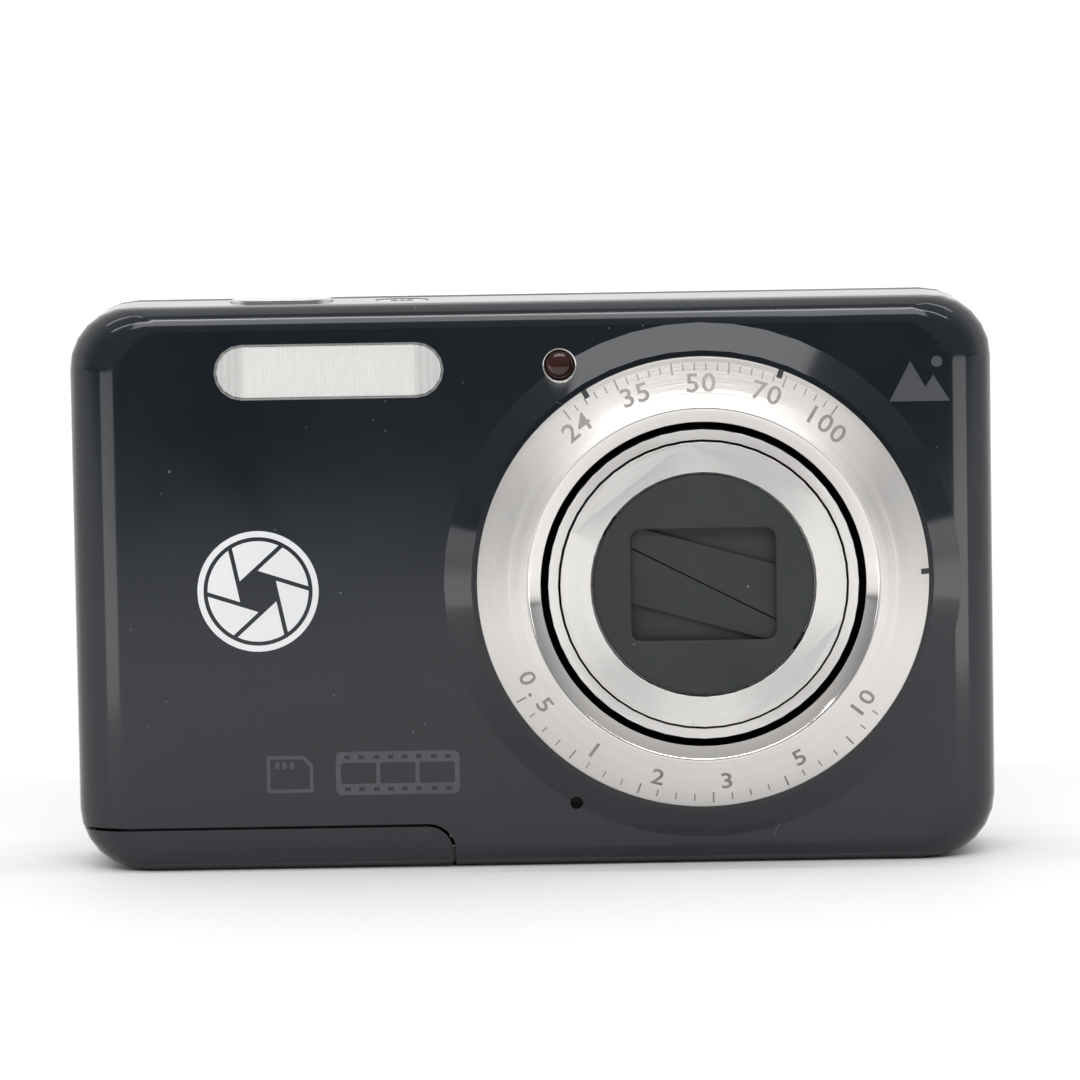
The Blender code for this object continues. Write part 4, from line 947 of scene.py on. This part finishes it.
def on_cone(angle, radius, inward=False, lift=0.012 * MM):
    """A frame on the cone: x along the line of print, y up the letter, z out of the metal."""
    a = math.radians(angle)
    level = math.cos(CONE_TILT)
    out = Vector((math.cos(a) * level, math.sin(CONE_TILT), math.sin(a) * level))
    along = Vector((math.sin(a), 0, -math.cos(a)))
    if inward:
        out, along = -out, -along
    normal = along.cross(out)
    depth = crest + (radius - CREST_RADIUS) * math.tan(CONE_TILT)
    across, up = LENS_X / MM + radius * math.cos(a), LENS_Z / MM + radius * math.sin(a)
    at = Vector((across, depth, up)) * MM
    turned = Matrix((along, out, normal)).transposed().to_4x4()
    turned.translation = at + normal * lift
    return turned


print("cone slope in degrees:", round(math.degrees(CONE_TILT), 1))

# %% [markdown]
# A number starts as text and a sign as a flat curve with a little depth. Both become a mesh before
# they are moved, so the finished object stays at the origin. Many small meshes are gathered into
# one object.


# %% Letters, bars and gathering
def flat_mesh(name, curve):
    """The mesh of a curve or of text, made before it is moved to its place."""
    holder = bpy.data.objects.new(name, curve)
    bpy.context.scene.collection.objects.link(holder)
    bpy.context.view_layer.update()
    evaluated = holder.evaluated_get(bpy.context.evaluated_depsgraph_get())
    mesh = bpy.data.meshes.new_from_object(evaluated)
    bpy.data.objects.remove(holder)
    return mesh


def glyph(text, height, thick=0.05 * MM):
    """One character as a thin solid, its face at z 0."""
    curve = bpy.data.curves.new("glyph", "FONT")
    curve.body = text
    curve.size = height
    curve.align_x = "CENTER"
    curve.align_y = "CENTER"
    curve.extrude = thick / 2
    curve.offset = height * 0.012
    curve.resolution_u = 3
    mesh = flat_mesh("glyph", curve)
    mesh.transform(Matrix.Translation((0, 0, -thick / 2)))
    return mesh


def gathered(name, laid, material):
    """One object from many small meshes, each moved by its own matrix."""
    shape = bmesh.new()
    for mesh, matrix in laid:
        moved = mesh.copy()
        moved.transform(matrix)
        shape.from_mesh(moved)
        bpy.data.meshes.remove(moved)
    bmesh.ops.remove_doubles(shape, verts=shape.verts, dist=0.0002 * MM)
    bmesh.ops.recalc_face_normals(shape, faces=shape.faces)
    return finished(name, shape, material)


def bar(wide, tall, thick=0.05 * MM):
    """A thin plate, its face at z 0."""
    mesh = bpy.data.meshes.new("bar")
    shape = bmesh.new()
    bmesh.ops.create_cube(shape, size=1.0)
    bmesh.ops.scale(shape, vec=(wide, tall, thick), verts=shape.verts)
    bmesh.ops.translate(shape, vec=(0, 0, -thick / 2), verts=shape.verts)
    shape.to_mesh(mesh)
    shape.free()
    return mesh


print("letters and bars ready")

# %% [markdown]
# The zoom numbers read from outside and the distances from inside, so the lower row runs the other
# way round. Each letter stands at its own angle. Long ticks mark every fourth or fifth step, and
# three dark notches on the rim mark the index.

# %% The engraved scale
ZOOM_MARKS = ((128, "24"), (109, "35"), (90, "50"), (71, "70"), (52, "100"))
DISTANCE_MARKS = ((212, "0.5"), (236, "1"), (256, "2"), (276, "3"), (298, "5"), (322, "10"))
LETTER_STEP = 4.6  # degrees from one character to the next
LETTER_RADIUS, TICK_RADIUS, NOTCH_RADIUS = 19.75, 21.35, 21.95
laid = []
for marks, height, way, inward in (
    (ZOOM_MARKS, 2.9 * MM, -1, False), (DISTANCE_MARKS, 2.7 * MM, 1, True),
):
    for middle, text in marks:
        for i, letter in enumerate(text):
            angle = middle + way * (i - (len(text) - 1) / 2) * LETTER_STEP
            laid.append((glyph(letter, height), on_cone(angle, LETTER_RADIUS, inward)))
tick, long_tick = bar(0.13 * MM, 0.8 * MM), bar(0.17 * MM, 1.3 * MM)
for start_at, end_at, steps, every, inward in ((52, 128, 25, 5, False), (212, 322, 22, 4, True)):
    for step in range(steps + 1):
        angle = start_at + (end_at - start_at) * step / steps
        mark = long_tick if step % every == 0 else tick
        laid.append((mark, on_cone(angle, TICK_RADIUS, inward)))
scale = gathered("engraved_scale", laid, FINISH["engraved"])
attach(scale, "case")
notches = [
    (bar(0.55 * MM, 0.95 * MM, 0.3 * MM), on_cone(angle, NOTCH_RADIUS, lift=0.01 * MM))
    for angle in (121, 69, 2)
]
index = gathered("index_notches", notches, FINISH["matt_black"])
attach(index, "case")
print("scale:", len(laid), "marks")

# %% [markdown]
# ## Flash, focus lamp and microphone
#
# The flash cover keeps its own outline with a soft edge, and the trough and tube behind it are
# bright and milky. The lamp lens is a low dome, spun like the bezel, set back in a plated collar.

# %% Flash and lamp
dress("flash_window", "clear_window", 0.16 * MM)
dress("flash_reflector", "bright_metal", 0.05 * MM)
dress("flash_tube", "white_plastic", 0.05 * MM)
dress("flash_capacitor", "matt_black", 0.3 * MM)
lamp_low, lamp_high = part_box("lamp_window")
LAMP = ((lamp_low[0] + lamp_high[0]) / 2, (lamp_low[2] + lamp_high[2]) / 2)
front, rear = lamp_low[1] / MM, lamp_high[1] / MM
dome = [
    (0, front + 0.02), (0.5, front + 0.05), (0.95, front + 0.14), (1.3, front + 0.30),
    (1.48, front + 0.48), (1.5, rear), (0, rear),
]
lamp = finished("focus_lamp", spun_shape(dome, 48, LAMP, closed=False), FINISH["amber_window"])
stand_in(lamp, "lamp_window")
ring = [(1.68, front - 0.06), (1.68, front + 0.42), (1.52, front + 0.42), (1.52, front + 0.06)]
collar = spun_shape(eased(ring, [0.05] * 4), 48, LAMP)
collar = finished("lamp_collar", collar, FINISH["bright_metal"])
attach(collar, "case")
FLASH_AT = (FLASH_X / MM, FACE_Y / MM + 0.32, FLASH_Z / MM)
dress("microphone", "steel", 0.05 * MM, "matt_black")
print("flash and lamp dressed")

# %% [markdown]
# ## Buttons and keys
#
# The shutter button and the power button are plated, and the keys on the back are satin plastic.
# The coil under the shutter button gets a mesh of its own. The rocker's top is lowered by a hair,
# because its signs have to lie inside the outline of the part.

# %% Buttons and keys
for part, slot, width in (
    ("shutter_button", "bright_metal", 0.3), ("power_button", "bright_metal", 0.18),
    ("shutter_spring", "steel", 0), ("zoom_rocker", "satin_black", 0.3),
    ("record_button", "satin_black", 0.22), ("menu_button", "satin_black", 0.22),
    ("play_button", "satin_black", 0.22), ("delete_button", "satin_black", 0.22),
    ("nav_ring", "satin_black", 0.15), ("nav_rubber", "rubber", 0.1),
    ("set_button", "satin_black", 0.2),
):
    dress(part, slot, width * MM)
spring = bpy.data.objects["shutter_spring_look"]
low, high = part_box("shutter_spring")
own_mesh(spring)
ROCKER_DROP = 0.03  # millimetres that the rocker's top gives up, so that its signs fit in its box
rocker = bpy.data.objects["zoom_rocker_look"]
for vertex in rocker.data.vertices:
    if vertex.co.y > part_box("zoom_rocker")[1][1] - 0.01 * MM:
        vertex.co.y -= ROCKER_DROP * MM
print("buttons and keys dressed")

# %% [markdown]
# The printed signs are thin plates of ink. A sign is drawn flat in millimetres, as outlines whose
# inner lines are holes, and then laid on the front, on the back or on top.

# %% Inks and flat signs
INK_LIFT = 0.012  # millimetres that a sign stands off its face
keep("white_ink", surface(
    "white_ink", (0.80, 0.81, 0.82), 0.34, drift=0.07, grain=(2600.0, 0.25), scratches=0.25,
    dust=0.08, scratch_colour=(0.45, 0.45, 0.45), patch_scale=90.0))
keep("grey_ink", surface(
    "grey_ink", (0.062, 0.066, 0.072), 0.32, drift=0.2, grain=(2600.0, 0.25), scratches=0.2,
    dust=0.08))
keep("red_ink", surface(
    "red_ink", (0.55, 0.03, 0.02), 0.36, drift=0.15, grain=(2600.0, 0.25), scratches=0.1,
    dust=0.05))

FRONT = Matrix.Rotation(math.radians(90), 4, "X")
REAR = Matrix.Rotation(math.radians(180), 4, "Z") @ Matrix.Rotation(math.radians(90), 4, "X")


def sign(name, outlines, at, facing, body, ink, thick=0.04):
    """A flat sign from outlines in millimetres; an outline inside another is a hole in it."""
    curve = bpy.data.curves.new(name, "CURVE")
    curve.dimensions = "2D"
    curve.fill_mode = "BOTH"
    curve.extrude = thick / 2 * MM
    for points in outlines:
        line = curve.splines.new("POLY")
        line.points.add(len(points) - 1)
        for point, (x, y) in zip(line.points, points):
            point.co = (x * MM, y * MM, 0, 1)
        line.use_cyclic_u = True
    where = Matrix.Translation(Vector(at) * MM) @ facing
    made = gathered(name, [(flat_mesh(name, curve), where)], FINISH[ink])
    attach(made, body)
    return made


def ring_line(radius, count=40, centre=(0, 0), start=0.0, sweep=360.0):
    """Points along a circle, or along an arc of it that ends on its last point."""
    gaps = count if sweep == 360.0 else count - 1
    turn = [math.radians(start + sweep * i / gaps) for i in range(count)]
    return [(centre[0] + radius * math.cos(t), centre[1] + radius * math.sin(t)) for t in turn]


def soft_box(half_x, half_y, radius, centre=(0, 0)):
    points = []
    for sx, sy, turned in ((1, 1, 0), (-1, 1, 90), (-1, -1, 180), (1, -1, 270)):
        middle = (centre[0] + sx * (half_x - radius), centre[1] + sy * (half_y - radius))
        points += ring_line(radius, 7, middle, turned, 90.0)
    return points


def plain_box(left, low, right, high):
    return [(left, low), (right, low), (right, high), (left, high)]


def key_place(node):
    low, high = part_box(node)
    return (low[0] + high[0]) / 2 / MM, high[1] / MM + INK_LIFT, (low[2] + high[2]) / 2 / MM


def long_round(half_x, half_y):
    """An outline with half-round ends."""
    reach = half_x - half_y
    right_end = ring_line(half_y, 15, (reach, 0), -90, 180.0)
    return right_end + ring_line(half_y, 15, (-reach, 0), 90, 180.0)


print("signs can be drawn")

# %% [markdown]
# A thin plated rim frames the flash. The keys carry bars for the menu, a triangle for playback, a
# bin for deleting, a red dot for recording, a ring in the middle, arrows on the four-way ring, and
# a plus and minus on the rocker. The power sign is an open ring with a bar.

# %% Flash rim and the signs on the keys
half_x = (FLASH_HIGH[0] - FLASH_LOW[0]) / 2 / MM
half_z = (FLASH_HIGH[2] - FLASH_LOW[2]) / 2 / MM
rim_lines = [long_round(half_x + edge, half_z + edge) for edge in (0.19, 0.02)]
sign("flash_rim", rim_lines, FLASH_AT, FRONT, "case", "bright_metal", 0.5)


def key_sign(name, outlines, node, ink="white_ink", drop=0.0, thick=0.04):
    """A sign on a key of the back, on the key's own body."""
    x, y, z = key_place(node)
    body = nodes[node]["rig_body"]
    sign(name, outlines, (x, y - drop, z), REAR, body, ink, thick)


key_sign("menu_sign", [plain_box(-1.0, y - 0.13, 1.0, y + 0.13) for y in (-0.6, 0, 0.6)],
         "menu_button")
key_sign("play_sign", [
    [(-0.75, -0.95), (1.05, 0), (-0.75, 0.95)],
    [(-0.5, -0.52), (-0.5, 0.52), (0.5, 0)],
], "play_button")
key_sign("record_sign", [ring_line(0.85, 28)], "record_button", "red_ink")
key_sign("delete_sign", [
    [(-0.75, 0.45), (-0.6, -1.05), (0.6, -1.05), (0.75, 0.45)],
    [(-0.5, 0.25), (-0.38, -0.85), (0.38, -0.85), (0.5, 0.25)],
    plain_box(-0.95, 0.6, 0.95, 0.8), plain_box(-0.3, 0.85, 0.3, 1.05),
], "delete_button")
key_sign("set_sign", [ring_line(1.15, 32), ring_line(0.92, 32)], "set_button")
arrows = []
for turn in range(4):
    c, s = math.cos(math.radians(90 * turn)), math.sin(math.radians(90 * turn))
    corners = ((7.1, -0.75), (8.1, 0), (7.1, 0.75))
    arrows.append([(px * c - py * s, px * s + py * c) for px, py in corners])
key_sign("arrow_signs", arrows, "nav_ring")
minus = plain_box(3.6, -0.13, 5.4, 0.13)
plus = [
    (-5.4, -0.13), (-4.63, -0.13), (-4.63, -0.9), (-4.37, -0.9), (-4.37, -0.13), (-3.6, -0.13),
    (-3.6, 0.13), (-4.37, 0.13), (-4.37, 0.9), (-4.63, 0.9), (-4.63, 0.13), (-5.4, 0.13),
]
key_sign("wide_sign", [minus], "zoom_rocker", drop=ROCKER_DROP, thick=0.03)
key_sign("near_sign", [plus], "zoom_rocker", drop=ROCKER_DROP, thick=0.03)
low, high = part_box("power_button")
power_at = ((low[0] + high[0]) / 2 / MM, (low[1] + high[1]) / 2 / MM, high[2] / MM + INK_LIFT)
open_ring = ring_line(1.15, 20, start=125, sweep=290.0)
open_ring += ring_line(0.9, 20, start=415, sweep=-290.0)
sign("power_sign", [open_ring, plain_box(-0.13, 0.35, 0.13, 1.35)], power_at, Matrix.Identity(4),
     nodes["power_button"]["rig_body"], "grey_ink", 0.03)
print("signs printed on the keys")

# %% [markdown]
# ## Printing on the front
#
# The front carries a white emblem, a camera iris in a disc, and three small dim signs: a memory
# card, a strip of film and a pair of hills for the wide view. Each iris blade is cut from a disc
# by two planes: outside one side of the hexagon and inside the next, with a narrow gap.


# %% The iris emblem
def iris_blades(outer, side, gap):
    """Six meshes that fill a disc round an open hexagon; sizes in millimetres."""
    blades = []
    for number in range(6):
        shape = bmesh.new()
        bmesh.ops.create_circle(shape, cap_ends=True, segments=96, radius=outer * MM)
        for turn, reach, keep_outside in (
            (number, side + gap / 2, True), (number + 1, side - gap / 2, False),
        ):
            a = math.radians(60 * turn + 12)
            out = Vector((math.cos(a), math.sin(a), 0))
            bmesh.ops.bisect_plane(
                shape, geom=shape.verts[:] + shape.edges[:] + shape.faces[:],
                plane_co=out * reach * MM, plane_no=out,
                clear_inner=keep_outside, clear_outer=not keep_outside,
            )
        grown = bmesh.ops.extrude_face_region(shape, geom=shape.faces[:])["geom"]
        grown = [item for item in grown if isinstance(item, bmesh.types.BMVert)]
        bmesh.ops.translate(shape, vec=(0, 0, -0.04 * MM), verts=grown)
        mesh = bpy.data.meshes.new("iris_blade")
        shape.to_mesh(mesh)
        shape.free()
        blades.append(mesh)
    return blades


EMBLEM = (LEFT / MM + 18.45, FACE_Y / MM - INK_LIFT, 28.0)
where = Matrix.Translation(Vector(EMBLEM) * MM) @ FRONT
blades = [(blade, where) for blade in iris_blades(5.0, 1.75, 0.42)]
emblem = gathered("iris_emblem", blades, FINISH["white_ink"])
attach(emblem, "case")
sign("emblem_ring", [ring_line(6.0, 96), ring_line(5.4, 96)],
     EMBLEM, FRONT, "case", "white_ink")
print("emblem:", len(blades), "blades in a ring")

# %% [markdown]
# The three dim signs are drawn as outlines, like those on the keys: a card with a cut corner and
# its contacts, a strip of three frames with its holes, and two hills under a sun.

# %% Card, film and hills
card = [
    [(-2.3, -1.85), (2.3, -1.85), (2.3, 0.9), (1.4, 1.85), (-2.3, 1.85)],
    [(-1.95, -1.5), (1.95, -1.5), (1.95, 0.75), (1.25, 1.5), (-1.95, 1.5)],
]
card += [plain_box(x, 0.55, x + 0.45, 1.2) for x in (-1.5, -0.75, 0.0)]
film = [soft_box(6.15, 2.17, 0.6)]
film += [soft_box(1.75, 1.05, 0.25, (x, 0)) for x in (-3.9, 0, 3.9)]
for x in (-5.0, -3.6, -2.1, -0.7, 0.7, 2.1, 3.6, 5.0):
    film += [plain_box(x - 0.28, y - 0.2, x + 0.28, y + 0.2) for y in (-1.6, 1.6)]
hills = [
    [(-3.0, -2.3), (3.0, -2.3), (1.35, 0.3), (0.55, -0.9), (-0.9, 1.7)],
    ring_line(0.55, 20, (1.7, 1.6)),
]
for name, outlines, x, z in (
    ("card_sign", card, -24.5, 9.7), ("film_sign", film, -13.8, 9.7),
    ("hills_sign", hills, RIGHT / MM - 7.35, 48.1),
):
    sign(name, outlines, (x, EMBLEM[1], z), FRONT, "case", "grey_ink")
print("front printed")

# %% [markdown]
# ## The back, the base and the inside
#
# Everything else keeps its own shape and gets the finish of its material. Screws and sheet metal
# have small rounds, moulded boxes slightly larger ones.

# %% Everything else
for part, slot, width in (
    ("screen_window", "screen_glass", 0.08), ("screen_module", "steel", 0.1),
    ("key_board", "board_green", 0), ("top_board", "board_green", 0),
    ("main_board", "board_green", 0), ("chassis", "steel", 0.04),
    ("battery", "battery_grey", 0.25), ("battery_chamber", "inner_plastic", 0),
    ("battery_contacts", "brass", 0.08), ("battery_latch", "latch_orange", 0.1),
    ("memory_card", "card_blue", 0.15), ("card_socket", "steel", 0.08),
    ("hinge_pin", "steel", 0.04), ("tripod_socket", "steel", 0.08), ("strap_bar", "steel", 0.06),
    ("usb_socket", "steel", 0.06), ("speaker", "matt_black", 0.1),
    ("base_screw_left", "steel", 0.04), ("base_screw_right", "steel", 0.04),
):
    dress(part, slot, width * MM)
print("dressed parts:", len(nodes))

# %% [markdown]
# ## Floor, light and camera
#
# The camera stands on a sheet of white paper that runs back to the horizon. In front, the paper's
# colour is painted dark, a painted shade, which is what the upper half of the polished face
# reflects. Far behind, the paper glows a little, a painted glow, so that it meets the pale room
# without a line.


# %% The white sheet
def paper():
    made, tree, shader, where = start("paper")
    x, y, z = axes(tree, where)
    # painted shade: the paper's colour goes dark in front of the camera and is white behind it
    sheet = between(tree, y, -0.56, -0.17)
    fibres = noise(tree, where, 900.0, 4.0)
    tint = blend(tree, fibres, (0.90, 0.90, 0.90), (0.94, 0.94, 0.94))
    feed(tree, shader.inputs["Base Color"], blend(tree, sheet, (0.06, 0.06, 0.065), tint))
    feed(tree, shader.inputs["Roughness"], raised(tree, 0.55, fibres, 0.1))
    shader.inputs["Specular IOR Level"].default_value = 0.15
    shader.inputs["Emission Strength"].default_value = 1.0
    # painted glow: the far paper gives off light of its own, though it is no lamp
    glow = blend(tree, between(tree, y, 0.05, 0.6), (0, 0, 0), (0.35, 0.35, 0.35))
    feed(tree, shader.inputs["Emission Color"], glow)
    feed(tree, shader.inputs["Normal"], bumped(tree, fibres, 0.05, 0.0001))
    return made


sheet_mesh = bpy.data.meshes.new("paper_sheet")
shape = bmesh.new()
bmesh.ops.create_grid(shape, x_segments=4, y_segments=4, size=6.0)
bmesh.ops.translate(shape, vec=(0, 3.0, 0), verts=shape.verts)
shape.to_mesh(sheet_mesh)
shape.free()
sheet_mesh.materials.append(paper())
sheet = bpy.data.objects.new("paper_sheet", sheet_mesh)
bpy.context.scene.collection.objects.link(sheet)
sheet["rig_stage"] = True
print("sheet laid")

# %% [markdown]
# The room is bright behind the camera body and darker in front of it, so the polished face stays
# dark. Two long lamps overhead draw the thin lines along the rounded top edge. A high box in front
# lights the slope above the bezel, and a small dim panel on each side lights the rounded ends.

# %% Light
scene = bpy.context.scene
world = bpy.data.worlds.new("soft_room")
scene.world = world
world.use_nodes = True
sky = world.node_tree
background = sky.nodes["Background"]
direction = place(sky, "ShaderNodeTexCoord").outputs["Generated"]
_, forward, upward = axes(sky, direction)
behind = between(sky, forward, -0.55, 0.25)
above = between(sky, upward, 0.25, 0.75)
room = blend(sky, above, (0.28, 0.285, 0.30), (0.50, 0.50, 0.50))
feed(sky, background.inputs["Color"], blend(sky, behind, room, (1.04, 1.04, 1.04)))
background.inputs["Strength"].default_value = 1.0


def area_lamp(name, at, aim, size, power):
    light = bpy.data.lights.new(name, "AREA")
    light.shape = "RECTANGLE"
    light.size, light.size_y = size
    light.energy = power
    obj = bpy.data.objects.new(name, light)
    obj.location = at
    obj.rotation_euler = (Vector(aim) - Vector(at)).to_track_quat("-Z", "Y").to_euler()
    scene.collection.objects.link(obj)


area_lamp("front_strip", (0.0, -0.42, 0.50), (0, 0, 0.03), (1.1, 0.02), 0.8)
area_lamp("top_strip", (0.0, -0.05, 0.62), (0, 0, 0.03), (1.2, 0.03), 0.8)
area_lamp("high_box", (0.0, -0.65, 0.59), (0, 0, 0.05), (0.70, 0.30), 2.1)
area_lamp("left_panel", (-0.118, -0.124, 0.022), (-0.01, 0, 0.022), (0.06, 0.044), 0.014)
area_lamp("right_panel", (0.157, -0.120, 0.022), (0.04, 0, 0.022), (0.06, 0.044), 0.017)
scene.view_settings.view_transform = "Standard"

# %% [markdown]
# The view looks a few degrees down at the front and is tilted by about a degree. It is taken from
# well away with a long lens, which keeps the face nearly free of perspective.

# %% Camera
AIM = Vector((0.69, -6.85, 32.65)) * MM
DISTANCE, PITCH, ROLL = 0.600, math.radians(5.4), math.radians(0.95)
LENS_PER_DISTANCE = 0.337  # the length of the lens in millimetres for each of distance
lens = bpy.data.cameras.new("view")
lens.sensor_width = 36.0
lens.lens = LENS_PER_DISTANCE * DISTANCE / MM
lens.clip_start, lens.clip_end = 0.05, 50.0
camera = bpy.data.objects.new("view", lens)
scene.collection.objects.link(camera)
camera.location = AIM + Vector((0, -math.cos(PITCH), math.sin(PITCH))) * DISTANCE
look = (AIM - camera.location).to_track_quat("-Z", "Y").to_matrix().to_4x4()
camera.matrix_world = Matrix.Translation(camera.location) @ look @ Matrix.Rotation(-ROLL, 4, "Z")
scene.camera = camera
print("camera at", [round(c, 3) for c in camera.location])

# %% [markdown]
# ## Size before and after
#
# The last cell prints the outer size before and after. The finished pieces lie on or just inside
# the parts they stand for, so the two should agree.

# %% Print the size before and after
bpy.context.view_layer.update()
size_after = [list(corner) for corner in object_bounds()]
for label, size in (("before", size_before), ("after", size_after)):
    print(label, "in mm:", [[round(value / MM, 3) for value in corner] for corner in size])
